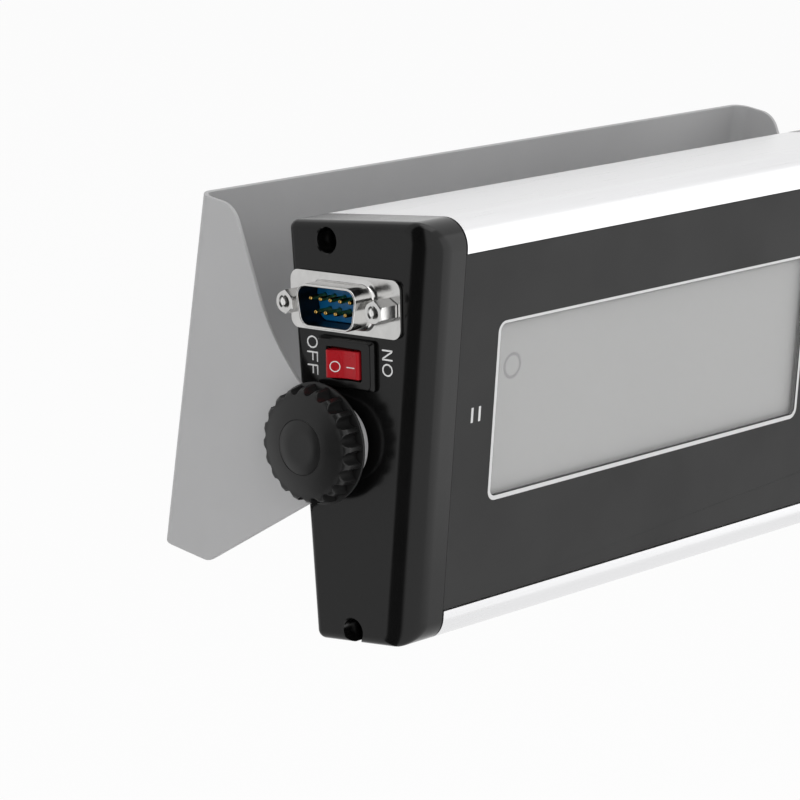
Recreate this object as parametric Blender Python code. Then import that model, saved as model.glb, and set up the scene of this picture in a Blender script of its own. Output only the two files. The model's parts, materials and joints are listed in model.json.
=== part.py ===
"""Display unit of a parcel scale, clamped by two knobs in a bent steel wall bracket.

World frame: the origin is the middle of the bracket's back face, +Z runs up that plate,
+X runs along the housing to the right of someone reading the display, and -Y points out
of the wall. Every size below is in millimetres and becomes metres where a mesh is made.
"""
import math

import bmesh
import bpy
from mathutils import Matrix, Vector

MM = 0.001

# Clearances
SEAT = 0.2              # between pieces that rest on each other
SLIP = 0.3              # around a piece that slides or turns in another

# Housing section, seen from its end with the rear face upright
HEIGHT = 90.65
DEPTH_TOP = 41.5
DEPTH_BOTTOM = 26.3
REAR_CORNER = 2.0
FRONT_TOP_CORNER = 6.0
FRONT_BOTTOM_CORNER = 5.4
TUBE_WALL = 1.8
FRONT_WALL = 1.6        # left behind the pocket of the front panel
POCKET = 1.5            # depth of the front panel's pocket
POCKET_BELOW_TOP = 7.9  # along the slanted face
POCKET_ABOVE_BOTTOM = 6.25

# Tilt axis, measured on the housing
AXIS_FROM_REAR = 8.2
AXIS_BELOW_TOP = 46.9
REST_TILT = 14.08       # degrees that the housing leans back in its bracket

# Bracket
SHEET = 1.0
BEND = 4.0              # outer radius
AXIS_TO_WALL = 43.3
PLATE_ABOVE_AXIS = 43.4
PLATE_BELOW_AXIS = 36.5
EAR_TOP_REACH = 32.3    # from the axis back to where the ear's top edge ends
EAR_TOP_CORNER = 6.0
EAR_WAIST_REACH = 18.3  # where the upper edge bends, behind and above the axis
EAR_WAIST_RISE = 19.6
EAR_WAIST_BLEND = 50.0
EAR_NECK_REACH = 7.0    # where it turns level, at the top of the nose
EAR_NECK_BLEND = 8.0
EAR_NOSE_RISE = 10.1
EAR_NOSE_REACH = 12.6   # from the axis forward to the nose
EAR_NOSE_DROP = 2.8     # from the axis down to where the lower edge leaves the nose
EAR_NOSE_CORNER = 8.5
EAR_BOTTOM_REACH = 28.0
EAR_BOTTOM_CORNER = 4.0
EAR_GAP = 2.0           # between an ear and its end cap
WALL_HOLE = 2.4
WALL_HOLE_SIDE = 60.0
WALL_HOLE_RISE = 22.0

# End caps
CAP_DEPTH = 11.1
CAP_FACE = 3.0
CAP_WALL = 2.5
CAP_EDGE = 2.0
CAP_FRONT_EDGE = 6.5
SCREW_FROM_REAR = 11.0
SCREW_BELOW_TOP = 4.2
SCREW_ABOVE_BOTTOM = 2.6
COUNTERBORE = 2.75
COUNTERBORE_DEPTH = 7.0
SCREW_HEAD = 2.5
SCREW_HEAD_HEIGHT = 1.9
SCREW_SHANK = 1.3
SCREW_LENGTH = 11.0
PORT_WALL = 1.5         # metal around a screw's hole in the housing

# Connector and switch panel on the left end cap
PANEL_FROM_REAR = 15.9
PANEL_BELOW_TOP = 17.4
PANEL_TURN = 3.45       # degrees
FLANGE_WIDTH = 30.8
FLANGE_HEIGHT = 12.5
FLANGE_CORNER = 2.2
FLANGE_SHEET = 0.6
SHELL_WIDTH = 17.8
SHELL_HEIGHT = 9.2
SHELL_CORNER = 2.7
SHELL_SLANT = 10.0      # degrees
SHELL_SHEET = 0.5
SHELL_RISE = 6.0
SHELL_FLARE = 1.1
PIN_PITCH = 2.77
PIN_ROWS = 2.84
PIN_RADIUS = 0.5
PIN_RISE = 4.8
PIN_TAIL = 11.5
INSULATOR_WIDTH = 19.4
INSULATOR_HEIGHT = 10.4
INSULATOR_DEPTH = 8.0
JACK_SPACING = 24.99
JACK_FLATS = 4.5
JACK_RISE = 5.0
JACK_THREAD = 1.2
JACK_THREAD_DEPTH = 4.2
JACK_TAIL = 1.4
JACK_TAIL_LENGTH = 6.0
SWITCH_BELOW_CONNECTOR = 12.65
BEZEL_WIDTH = 15.8
BEZEL_HEIGHT = 10.8
BEZEL_CORNER = 0.9
BEZEL_RISE = 1.3
SWITCH_WIDTH = 13.0
SWITCH_HEIGHT = 8.6
SWITCH_DEPTH = 11.0
ROCKER_REACH = 4.4      # from the rocker's pivot to its ends
ROCKER_HEIGHT = 5.9
ROCKER_PIVOT = 0.9      # behind the bezel's front
ROCKER_THROW = 11.0     # degrees either side of the middle
TERMINAL_WIDTH = 4.8
TERMINAL_SHEET = 0.8
TERMINAL_LENGTH = 7.0
TERMINAL_SPACING = 5.0

# Clamping knobs
KNOB_RIM = 13.1
KNOB_CREST = 12.8       # radius over the ribs, beside the rim
KNOB_DRAFT = 0.4        # that the ribs lose up to the shoulder
KNOB_VALLEY = 11.0      # radius at the bottom of the hollows
KNOB_RIBS = 20
KNOB_RIB_TOP = 1.0      # width of a rib between two hollows
KNOB_TURN = 9.6         # degrees from the wall's side to the first hollow
KNOB_RIM_WIDTH = 0.6
KNOB_GRIP = 4.9         # from the back of the rim to the edge of the face
KNOB_SHOULDER = 1.6     # height of the rounded edge
KNOB_DOME = 1.2
KNOB_DISC = 5.9
RIM_GAP = 0.3           # between a knob's rim and the ear
STUD = 2.9
STUD_IN_KNOB = 4.6
STUD_LENGTH = 12.0      # beyond the back of the knob
STUD_HOLE = 3.3
KNOB_WASHER = 8.0
KNOB_WASHER_SHEET = 1.0
INSERT = 4.5
INSERT_LENGTH = 5.5
BOSS_WALL = 1.6

# Front panel, measured on the slanted face from its top edge and from the left end
PANEL_BELOW_LIP = 0.3
WINDOW_FROM_END = 24.4
WINDOW_WIDTH = 110.8
WINDOW_BELOW_TOP = 24.8
WINDOW_HEIGHT = 37.8
WINDOW_CORNER = 1.6
GLASS_MARGIN = 2.0
GLASS_BEHIND_FACE = 2.0
GLASS_SHEET = 2.2
BACKLIGHT_MARGIN = 4.0
BACKLIGHT_FRONT = 4.5
BOARD = 1.6
BOARD_FRONT = 8.1
KEY_COUNT = 4
KEY_WIDTH = 24.0
KEY_HEIGHT = 11.0
KEY_CORNER = 2.5
KEY_PITCH = 17.0
KEY_FROM_WINDOW = 10.0
KEY_FROM_END = 20.8
KEY_PROUD = 0.4
KEY_SHEET = 1.3
KEY_STEM = 2.0
KEY_STEM_END = 3.3
KEY_SWITCH = 6.0
KEY_SWITCH_HEIGHT = 3.5
KEY_PLUNGER = 1.5
KEY_PLUNGER_RISE = 0.5

# Boards and rails inside
RAIL = 1.2
RAIL_HEIGHT = 2.0
BOARD_INSET = 12.0      # from the housing's ends to the boards' ends
CHIP = 12.0
CHIP_HEIGHT = 1.8
PROCESSOR_PLACE = (-20.0, 8.0)      # along the housing and above the tilt axis
CONVERTER_PLACE = (30.0, 12.0)
CAPACITOR_PLACE = (52.0, 24.0)
CAPACITOR = 4.0
CAPACITOR_HEIGHT = 7.0
HEADER_RISE = 30.0
HEADER_LENGTH = 22.0
HEADER_WIDTH = 5.0
HEADER_HEIGHT = 3.6
RIBBON_WIDTH = 18.0
RIBBON_SHEET = 0.5
RIBBON_SAG = 4.0

# Sockets on the right end cap
INLET = 4.0
INLET_MOUTH = 3.1
INLET_PIN = 1.0
INLET_NUT_FLATS = 9.0
INLET_NUT_SHEET = 1.3
INLET_RISE = 1.8
INLET_DEPTH = 9.0
INLET_FLOOR = 3.0
INLET_PIN_BACK = 2.0    # from the mouth in to the pin's tip
SOCKET = 5.5
SOCKET_MOUTH = 4.5
SOCKET_NUT_FLATS = 13.5
SOCKET_NUT_SHEET = 2.0
SOCKET_RISE = 3.6
SOCKET_DEPTH = 9.0
SOCKET_FACE_BACK = 3.0  # from the rim in to the contacts' face
SOCKET_TAIL = 1.0
CONTACT_COUNT = 5
CONTACT = 0.7
CONTACT_CIRCLE = 2.6
SOCKET_FROM_PANEL = 3.2     # behind the middle of the sockets' panel
INLET_FROM_SOCKET = 14.0

ARC = 4                 # facets in a rounded corner
ROUND = 24              # facets around a turned piece
DRILL = 16               # facets around a small hole
FLUTE = 4                # facets across a hollow of a knob

# Sizes worked out from those above
LENGTH = WINDOW_FROM_END + WINDOW_WIDTH + KEY_FROM_WINDOW + KEY_WIDTH + KEY_FROM_END
HALF = LENGTH / 2
SLOPE = math.atan2(DEPTH_TOP - DEPTH_BOTTOM, HEIGHT)
FACE_LENGTH = math.hypot(DEPTH_TOP - DEPTH_BOTTOM, HEIGHT)
REAR = AXIS_FROM_REAR
TOP = AXIS_BELOW_TOP
BOTTOM = TOP - HEIGHT
FRONT_TOP = REAR - DEPTH_TOP
FRONT_BOTTOM = REAR - DEPTH_BOTTOM
AXIS_HEIGHT = (PLATE_BELOW_AXIS - PLATE_ABOVE_AXIS) / 2
EAR_INNER = HALF + EAR_GAP
EAR_OUTER = EAR_INNER + SHEET
SCREW_Y = REAR - SCREW_FROM_REAR
SCREW_TOP_Z = TOP - SCREW_BELOW_TOP
SCREW_BOTTOM_Z = BOTTOM + SCREW_ABOVE_BOTTOM
SCREW_HOLE = SCREW_SHANK - 0.1
PORT = SCREW_HOLE + PORT_WALL
BOARD_SLOT = BOARD + 2 * SLIP
MAIN_SLOT = SCREW_Y + PORT
BOARD_HALF = HALF - CAP_DEPTH - BOARD_INSET
WINDOW_LEFT = -HALF + WINDOW_FROM_END
WINDOW_X = WINDOW_LEFT + WINDOW_WIDTH / 2
WINDOW_Z = -WINDOW_BELOW_TOP - WINDOW_HEIGHT / 2
KEY_X = WINDOW_LEFT + WINDOW_WIDTH + KEY_FROM_WINDOW + KEY_WIDTH / 2
PANEL_TOP_Z = -POCKET_BELOW_TOP
PANEL_BOTTOM_Z = -FACE_LENGTH + POCKET_ABOVE_BOTTOM
KEYS_Z = (PANEL_TOP_Z + PANEL_BOTTOM_Z) / 2
INLET_Y = SOCKET_FROM_PANEL - INLET_FROM_SOCKET


def clear_scene():
    for item in list(bpy.data.objects):
        bpy.data.objects.remove(item, do_unlink=True)


def material(name, colour, roughness, metallic=0.0):
    """A Principled material of one colour."""
    made = bpy.data.materials.new(name)
    made.use_nodes = True
    shader = made.node_tree.nodes["Principled BSDF"]
    shader.inputs["Base Color"].default_value = (*colour, 1.0)
    shader.inputs["Roughness"].default_value = roughness
    shader.inputs["Metallic"].default_value = metallic
    return made


def empty(name, location, turn=0.0, parent=None):
    """An axis marker: location in millimetres, turn in degrees about X."""
    marker = bpy.data.objects.new(name, None)
    bpy.context.collection.objects.link(marker)
    marker.location = Vector(location) * MM
    marker.rotation_euler = (math.radians(turn), 0.0, 0.0)
    marker.parent = parent
    return marker


def finish(mesh, name, finish_material, parent, sharp=35.0):
    """Turn a bmesh in millimetres into an object in metres."""
    bmesh.ops.recalc_face_normals(mesh, faces=mesh.faces)
    bmesh.ops.scale(mesh, verts=mesh.verts, vec=(MM, MM, MM))
    data = bpy.data.meshes.new(name)
    mesh.to_mesh(data)
    mesh.free()
    data.shade_smooth()
    data.set_sharp_from_angle(angle=math.radians(sharp))
    if finish_material:
        data.materials.append(finish_material)
    made = bpy.data.objects.new(name, data)
    bpy.context.collection.objects.link(made)
    made.parent = parent
    return made


def rounded(corners, facets=ARC):
    """An outline from corners (u, v, radius), each corner replaced by an arc."""
    outline = []
    for i, (u, v, radius) in enumerate(corners):
        here = Vector((u, v))
        if radius == 0:
            outline.append(here)
            continue
        before = (Vector(corners[i - 1][:2]) - here).normalized()
        after = (Vector(corners[(i + 1) % len(corners)][:2]) - here).normalized()
        half = before.angle(after) / 2
        centre = here + (before + after).normalized() * radius / math.sin(half)
        first = here + before * radius / math.tan(half) - centre
        last = here + after * radius / math.tan(half) - centre
        sweep = first.angle_signed(last)
        for k in range(facets + 1):
            spoke = first.copy()
            spoke.rotate(Matrix.Rotation(-sweep * k / facets, 2))
            outline.append(centre + spoke)
    return outline


def rectangle(width, height, radius, u=0.0, v=0.0, facets=ARC):
    w, h = width / 2, height / 2
    corners = [(u + w, v + h), (u - w, v + h), (u - w, v - h), (u + w, v - h)]
    return rounded([(*corner, radius) for corner in corners], facets)


def circle(radius, u=0.0, v=0.0, count=ROUND, start=0.0):
    turns = [start + 2 * math.pi * k / count for k in range(count)]
    return [Vector((u + radius * math.cos(a), v + radius * math.sin(a))) for a in turns]


def inset(corners, distances):
    """Move each side of an anticlockwise polygon inwards by its own distance. Side i leaves corner i."""
    count = len(corners)
    points = [Vector(corner[:2]) for corner in corners]
    moved = []
    for i in range(count):
        along = (points[(i + 1) % count] - points[i]).normalized()
        inward = Vector((-along.y, along.x))
        moved.append((points[i] + inward * distances[i], along))
    result = []
    for i in range(count):
        (a, u), (b, v) = moved[i - 1], moved[i]
        step = (b - a).cross(v) / u.cross(v)
        meet = a + u * step
        shrink = (distances[i - 1] + distances[i]) / 2
        result.append((meet.x, meet.y, max(corners[i][2] - shrink, 0.4)))
    return result


def across(x, u, v):
    """A point of a section that is extruded along the housing."""
    return Vector((x, u, v))


def into(y, u, v):
    """A point of an outline on a face that is extruded into its depth."""
    return Vector((u, y, v))


def upward(z, u, v):
    return Vector((u, v, z))


def prism(mesh, outline, holes, low, high, place):
    """Extrude an outline with its holes from low to high."""
    start, partner = [], {}
    for loop in [outline] + holes:
        lower = [mesh.verts.new(place(low, *point)) for point in loop]
        upper = [mesh.verts.new(place(high, *point)) for point in loop]
        partner.update(zip(lower, upper))
        for i in range(len(lower)):
            a, b = lower[i - 1], lower[i]
            start.append(mesh.edges.new((a, b)))
            mesh.faces.new((a, b, partner[b], partner[a]))
    filled = bmesh.ops.triangle_fill(mesh, use_beauty=True, edges=start)
    faces = [item for item in filled["geom"] if isinstance(item, bmesh.types.BMFace)]
    for face in faces:
        mesh.faces.new([partner[corner] for corner in reversed(face.verts)])
    return mesh


def loft(mesh, rings, closed=False):
    """Join rings of equal length with faces. The ends are filled unless it closes on itself."""
    made = [[mesh.verts.new(point) for point in ring] for ring in rings]
    count = len(rings[0])
    pairs = list(zip(made, made[1:]))
    if closed:
        pairs.append((made[-1], made[0]))
    for one, two in pairs:
        for i in range(count):
            mesh.faces.new((one[i - 1], one[i], two[i], two[i - 1]))
    if not closed:
        mesh.faces.new(made[0])
        mesh.faces.new(made[-1])
    return mesh


def turned(mesh, profile, u=0.0, v=0.0, count=ROUND, closed=False):
    """Revolve (x, radius) points about a line along the housing."""
    rings = [[across(x, *point) for point in circle(radius, u, v, count)] for x, radius in profile]
    return loft(mesh, rings, closed)


def cutter(mesh, name, parent):
    tool = finish(mesh, name, None, parent)
    tool.hide_render = True
    tool.display_type = "WIRE"
    return tool


def combine(target, tool, operation):
    step = target.modifiers.new(tool.name, "BOOLEAN")
    step.operation = operation
    step.solver = "EXACT"
    step.object = tool


def face_y(z, depth=0.0):
    """Where the slanted front lies at height z, or a plane that far behind it."""
    return FRONT_TOP + (TOP - z) * math.tan(SLOPE) + depth / math.cos(SLOPE)


def face_z(z, depth):
    """A height on the housing as a place along the slanted face, at a depth behind it."""
    return (z - TOP - depth * math.sin(SLOPE)) / math.cos(SLOPE)


def section():
    """Corners of the housing's outside: rear top, front top, front bottom, rear bottom."""
    return [(REAR, TOP, REAR_CORNER), (FRONT_TOP, TOP, FRONT_TOP_CORNER),
            (FRONT_BOTTOM, BOTTOM, FRONT_BOTTOM_CORNER), (REAR, BOTTOM, REAR_CORNER)]


clear_scene()
steel_grey = material("bracket_steel", (0.55, 0.55, 0.56), 0.42, 1.0)
silver = material("extruded_aluminium", (0.86, 0.86, 0.87), 0.3, 1.0)
black = material("moulded_black", (0.03, 0.03, 0.032), 0.42)
soft_black = material("rubber_black", (0.02, 0.02, 0.02), 0.8)
graphite = material("panel_graphite", (0.055, 0.055, 0.055), 0.5)
clear = material("clear_pane", (0.8, 0.8, 0.8), 0.05)
display_grey = material("display_grey", (0.45, 0.45, 0.45), 0.4)
white = material("backlight_white", (0.8, 0.8, 0.78), 0.5)
key_grey = material("key_grey", (0.12, 0.12, 0.12), 0.5)
board_green = material("board_green", (0.02, 0.16, 0.06), 0.5)
tinned = material("tinned_steel", (0.75, 0.74, 0.72), 0.25, 1.0)
blue = material("insulator_blue", (0.01, 0.17, 0.55), 0.35)
gold = material("contact_gold", (0.85, 0.6, 0.25), 0.25, 1.0)
red = material("rocker_red", (0.4, 0.012, 0.02), 0.3)
brass = material("insert_brass", (0.7, 0.52, 0.22), 0.35, 1.0)
zinc = material("screw_zinc", (0.62, 0.62, 0.6), 0.35, 1.0)

tilt_axis = empty("tilt_axis", (0, -AXIS_TO_WALL, AXIS_HEIGHT), -REST_TILT)
face_frame = empty("face_frame", (0, FRONT_TOP, TOP), math.degrees(SLOPE), tilt_axis)
panel_place = (REAR - PANEL_FROM_REAR, TOP - PANEL_BELOW_TOP)
left_panel = empty("left_panel", (-HALF, *panel_place), PANEL_TURN, tilt_axis)
right_panel = empty("right_panel", (HALF, *panel_place), PANEL_TURN, tilt_axis)


def make_bracket():
    """A U of bent sheet, trimmed by the outline of its ears and by its wall holes."""
    reach = -AXIS_TO_WALL - EAR_NOSE_REACH - 1.0
    inner = BEND - SHEET
    channel = rounded([(-EAR_OUTER, reach, 0), (-EAR_OUTER, 0, BEND), (EAR_OUTER, 0, BEND),
                       (EAR_OUTER, reach, 0), (EAR_INNER, reach, 0), (EAR_INNER, -SHEET, inner),
                       (-EAR_INNER, -SHEET, inner), (-EAR_INNER, reach, 0)])
    low, high = AXIS_HEIGHT - PLATE_BELOW_AXIS, AXIS_HEIGHT + PLATE_ABOVE_AXIS
    body = finish(prism(bmesh.new(), channel, [], low - 1, high + 1, upward), "bracket", steel_grey, None)

    wall = AXIS_TO_WALL + 1.0
    outline = rounded([(wall, PLATE_ABOVE_AXIS, 0), (wall, -PLATE_BELOW_AXIS, 0),
                       (EAR_BOTTOM_REACH, -PLATE_BELOW_AXIS, EAR_BOTTOM_CORNER),
                       (-EAR_NOSE_REACH, -EAR_NOSE_DROP, EAR_NOSE_CORNER),
                       (-EAR_NOSE_REACH, EAR_NOSE_RISE, EAR_NOSE_CORNER),
                       (EAR_NECK_REACH, EAR_NOSE_RISE, EAR_NECK_BLEND),
                       (EAR_WAIST_REACH, EAR_WAIST_RISE, EAR_WAIST_BLEND),
                       (EAR_TOP_REACH, PLATE_ABOVE_AXIS, EAR_TOP_CORNER)], 2 * ARC)
    side = [Vector((point.x - AXIS_TO_WALL, point.y + AXIS_HEIGHT)) for point in outline]
    holes = [circle(STUD_HOLE, -AXIS_TO_WALL, AXIS_HEIGHT)]
    width = EAR_OUTER + 1
    combine(body, cutter(prism(bmesh.new(), side, holes, -width, width, across), "ear_outline", None), "INTERSECT")

    drills = bmesh.new()
    for x in (-WALL_HOLE_SIDE, WALL_HOLE_SIDE):
        for z in (-WALL_HOLE_RISE, WALL_HOLE_RISE):
            prism(drills, circle(WALL_HOLE, x, z, DRILL), [], -SHEET - 1, 1, into)
    combine(body, cutter(drills, "wall_drills", None), "DIFFERENCE")
    return body


def make_housing():
    """The extrusion: outside with the panel's pocket, inside with board rails and screw ports."""
    end = HALF - CAP_DEPTH - SEAT
    pocket = []
    for z, depth in ((PANEL_TOP_Z, 0), (PANEL_TOP_Z, POCKET), (PANEL_BOTTOM_Z, POCKET), (PANEL_BOTTOM_Z, 0)):
        pocket.append((FRONT_TOP + depth * math.cos(SLOPE) - z * math.sin(SLOPE),
                       TOP + depth * math.sin(SLOPE) + z * math.cos(SLOPE), 0))
    corners = section()
    outside = rounded(corners[:2] + pocket + corners[2:])

    rear, top, bottom = REAR - TUBE_WALL, TOP - TUBE_WALL, BOTTOM + TUBE_WALL
    front = POCKET + FRONT_WALL
    slot = (BOARD_FRONT - SLIP, BOARD_FRONT - SLIP + BOARD_SLOT)
    rails = [(slot[0] - RAIL, slot[0]), (slot[1], slot[1] + RAIL)]
    inner = [(rear, top, 1.0), (rear, bottom, 1.0)]
    inner += bumps(bottom, 1, rails)
    inner += [(face_y(bottom, front), bottom, 1.0), (face_y(top, front), top, 1.5)]
    inner += bumps(top, -1, rails)[::-1]
    ports = [circle(SCREW_HOLE, SCREW_Y, z, 16) for z in (SCREW_TOP_Z, SCREW_BOTTOM_Z)]
    mesh = prism(bmesh.new(), outside, [rounded(inner)] + ports, -end, end, across)
    body = finish(mesh, "housing_tube", silver, tilt_axis)

    openings = bmesh.new()
    low, high = -1.0, front + 1
    glass_w = WINDOW_WIDTH + 2 * (GLASS_MARGIN + SLIP)
    glass_h = WINDOW_HEIGHT + 2 * (GLASS_MARGIN + SLIP)
    prism(openings, rectangle(glass_w, glass_h, WINDOW_CORNER, WINDOW_X, WINDOW_Z), [], low, high, into)
    for x, z in key_places():
        prism(openings, circle(KEY_STEM + SLIP + 0.2, x, z, 20), [], low, high, into)
    combine(body, cutter(openings, "face_openings", face_frame), "DIFFERENCE")
    return body


def bumps(wall, inward, rails):
    """Rails and the screw port on the bottom wall (inward 1) or the top wall (inward -1)."""
    tall = wall + inward * RAIL_HEIGHT
    back = MAIN_SLOT + BOARD_SLOT
    port_end = SCREW_BOTTOM_Z + PORT if inward > 0 else SCREW_TOP_Z - PORT
    corners = [(back + RAIL, wall, 0), (back + RAIL, tall, 0.3), (back, tall, 0.3), (back, wall, 0),
               (MAIN_SLOT, wall, 0), (MAIN_SLOT, port_end, 0.8), (SCREW_Y - PORT, port_end, 0.8),
               (SCREW_Y - PORT, wall, 0)]
    for near, far in reversed(rails):
        corners += [(face_y(wall, far), wall, 0), (face_y(tall, far), tall, 0.3),
                    (face_y(tall, near), tall, 0.3), (face_y(wall, near), wall, 0)]
    return corners


def key_places():
    first = KEYS_Z + KEY_PITCH * (KEY_COUNT - 1) / 2
    return [(KEY_X, first - KEY_PITCH * k) for k in range(KEY_COUNT)]


def cap_ring(x, distances, depths):
    """One ring of an end cap: sides moved in by distances and set back from x by depths."""
    corners = inset(section(), distances)
    points = rounded(corners)
    ring = []
    for i, point in enumerate(points):
        corner, k = divmod(i, ARC + 1)
        share = k / ARC
        depth = depths[corner - 1] * (1 - share) + depths[corner] * share
        ring.append((x, depth, point))
    return ring


def make_cap(side, name):
    """A moulded cap. side is -1 for the left end and 1 for the right end."""
    face = side * HALF
    edges = [CAP_EDGE, CAP_FRONT_EDGE, CAP_EDGE, CAP_EDGE]
    rings = [cap_ring(face, [0.0] * 4, [CAP_DEPTH] * 4)]
    steps = ARC
    for k in range(steps + 1):
        turn = math.radians(90 * k / steps)
        distances = [edge * (1 - math.cos(turn)) for edge in edges]
        depths = [edge * (1 - math.sin(turn)) for edge in edges]
        rings.append(cap_ring(face, distances, depths))
    solid = [[across(x - side * depth, *point) for x, depth, point in ring] for ring in rings]
    body = finish(loft(bmesh.new(), solid), name, black, tilt_axis)

    hollow = rounded(inset(section(), [CAP_WALL] * 4))
    tool = prism(bmesh.new(), hollow, [], face - side * CAP_FACE, face - side * (CAP_DEPTH + 1), across)
    combine(body, cutter(tool, name + "_hollow", tilt_axis), "DIFFERENCE")

    posts = bmesh.new()
    near, far = face - side * (CAP_FACE - 1), face - side * (CAP_DEPTH - SEAT)
    width = COUNTERBORE + 1.2
    skin = CAP_WALL / 2
    for z, wall in ((SCREW_TOP_Z, TOP - skin), (SCREW_BOTTOM_Z, BOTTOM + skin)):
        reach = z - math.copysign(width, wall)
        block = [(SCREW_Y + width, wall), (SCREW_Y - width, wall), (SCREW_Y - width, reach), (SCREW_Y + width, reach)]
        prism(posts, [Vector(point) for point in block], [], near, far, across)
    prism(posts, circle(INSERT + BOSS_WALL), [], near, face - side * (CAP_FACE + INSERT_LENGTH), across)
    combine(body, cutter(posts, name + "_posts", tilt_axis), "UNION")
    panel_drills(body, side)

    drills = bmesh.new()
    for z in (SCREW_TOP_Z, SCREW_BOTTOM_Z):
        profile = [(face + side, COUNTERBORE), (face - side * COUNTERBORE_DEPTH, COUNTERBORE),
                   (face - side * COUNTERBORE_DEPTH, SCREW_SHANK + SLIP),
                   (face - side * (CAP_DEPTH + 1), SCREW_SHANK + SLIP)]
        turned(drills, profile, SCREW_Y, z, 24)
    seat = face - side * (CAP_FACE - SEAT)
    turned(drills, [(face + side, STUD_HOLE), (seat, STUD_HOLE), (seat, INSERT + SEAT),
                    (face - side * (CAP_FACE + INSERT_LENGTH + 1), INSERT + SEAT)], 0, 0, 24)
    combine(body, cutter(drills, name + "_drills", tilt_axis), "DIFFERENCE")


def panel_drills(cap, side):
    """Cut-outs for the connector and switch, or for the two sockets."""
    drills = bmesh.new()
    low, high = -1.0, CAP_DEPTH + 1
    if side < 0:
        plate = rectangle(INSULATOR_WIDTH + 2 * SLIP, INSULATOR_HEIGHT + 2 * SLIP, 1.0)
        prism(drills, plate, [], low, high, across)
        for y in (-JACK_SPACING / 2, JACK_SPACING / 2):
            prism(drills, circle(JACK_TAIL + SEAT, y, 0, 16), [], low, JACK_TAIL_LENGTH + SLIP, across)
        switch = rectangle(SWITCH_WIDTH + 2 * SLIP, SWITCH_HEIGHT + 2 * SLIP, 0.6, 0, -SWITCH_BELOW_CONNECTOR)
        prism(drills, switch, [], low, high, across)
        combine(cap, cutter(drills, "left_cutouts", left_panel), "DIFFERENCE")
    else:
        prism(drills, circle(SOCKET + SEAT, SOCKET_FROM_PANEL, 0), [], -low, -high, across)
        prism(drills, circle(INLET + SEAT, INLET_Y, 0, 24), [], -low, -high, across)
        combine(cap, cutter(drills, "right_cutouts", right_panel), "DIFFERENCE")


def make_cap_screws(side, end):
    """Pan-head screws at the bottom of the counterbores, into the housing's ports."""
    floor = side * (HALF - COUNTERBORE_DEPTH + SEAT)
    for place, z in (("top", SCREW_TOP_Z), ("bottom", SCREW_BOTTOM_Z)):
        crown = floor + side * SCREW_HEAD_HEIGHT
        shank = SCREW_HOLE - SEAT
        profile = [(crown, 1.2), (crown - side * 0.35, SCREW_HEAD - 0.5), (crown - side * 1.0, SCREW_HEAD),
                   (floor, SCREW_HEAD), (floor, shank), (floor - side * SCREW_LENGTH, shank)]
        mesh = turned(bmesh.new(), profile, SCREW_Y, z, 12)
        finish(mesh, "cap_screw_" + end + "_" + place, zinc, tilt_axis)


def shell_outline(grow):
    """The D of the serial connector, wider above."""
    lean = SHELL_HEIGHT * math.tan(math.radians(SHELL_SLANT))
    w, h = SHELL_WIDTH / 2, SHELL_HEIGHT / 2
    corners = [(w, h, SHELL_CORNER), (-w, h, SHELL_CORNER), (-w + lean, -h, SHELL_CORNER), (w - lean, -h, SHELL_CORNER)]
    return rounded(inset(corners, [-grow] * 4))


def make_connector():
    """Nine-pin serial connector: drawn steel shell on a flange, insulator, pins and jack screws."""
    back = -SEAT
    front = back - FLANGE_SHEET
    rim = front - SHELL_RISE
    flange = rectangle(FLANGE_WIDTH, FLANGE_HEIGHT, FLANGE_CORNER)
    holes = [circle(JACK_TAIL + SEAT, y, 0, 16) for y in (-JACK_SPACING / 2, JACK_SPACING / 2)]
    mesh = bmesh.new()
    profile = [(front, SHELL_FLARE)]
    for k in range(1, 4):
        turn = math.radians(30 * k)
        profile.append((front - SHELL_FLARE * (1 - math.cos(turn)), SHELL_FLARE * (1 - math.sin(turn))))
    lip = SHELL_SHEET / 2
    profile += [(rim + lip, 0), (rim, -lip), (rim + lip, -SHELL_SHEET), (back, -SHELL_SHEET)]
    rings = []
    for x, grow in profile:
        rings.append([mesh.verts.new(across(x, *point)) for point in shell_outline(grow)])
    for one, two in zip(rings, rings[1:]):
        for i in range(len(one)):
            mesh.faces.new((one[i - 1], one[i], two[i], two[i - 1]))
    near = {"front": [rings[0]], "back": [rings[-1]]}
    for outline in [flange] + holes:
        one = [mesh.verts.new(across(front, *point)) for point in outline]
        two = [mesh.verts.new(across(back, *point)) for point in outline]
        near["front"].append(one)
        near["back"].append(two)
        for i in range(len(one)):
            mesh.faces.new((one[i - 1], one[i], two[i], two[i - 1]))
    for loops in near.values():
        edges = []
        for loop in loops:
            for i in range(len(loop)):
                edges.append(mesh.edges.get((loop[i - 1], loop[i])))
        bmesh.ops.triangle_fill(mesh, use_beauty=True, edges=edges)
    finish(mesh, "connector_shell", tinned, left_panel)

    top = [(PIN_PITCH * k, PIN_ROWS / 2) for k in (-2, -1, 0, 1, 2)]
    bottom = [(PIN_PITCH * k, -PIN_ROWS / 2) for k in (-1.5, -0.5, 0.5, 1.5)]
    pin_holes = [circle(PIN_RADIUS + SEAT / 2, y, z, 12) for y, z in top + bottom]
    face = shell_outline(-SHELL_SHEET - SEAT)
    mesh = prism(bmesh.new(), face, pin_holes, front, INSULATOR_DEPTH, across)
    finish(mesh, "connector_insulator", blue, left_panel)
    for number, (y, z) in enumerate(top + bottom, 1):
        tip = front - PIN_RISE
        pin = [(tip, 0.22), (tip + 0.35, PIN_RADIUS), (PIN_TAIL, PIN_RADIUS)]
        finish(turned(bmesh.new(), pin, y, z, 12), "connector_pin_" + str(number), gold, left_panel)

    for name, y in (("front", -JACK_SPACING / 2), ("rear", JACK_SPACING / 2)):
        make_jack_screw("jackscrew_" + name, y, front - SEAT)


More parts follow.
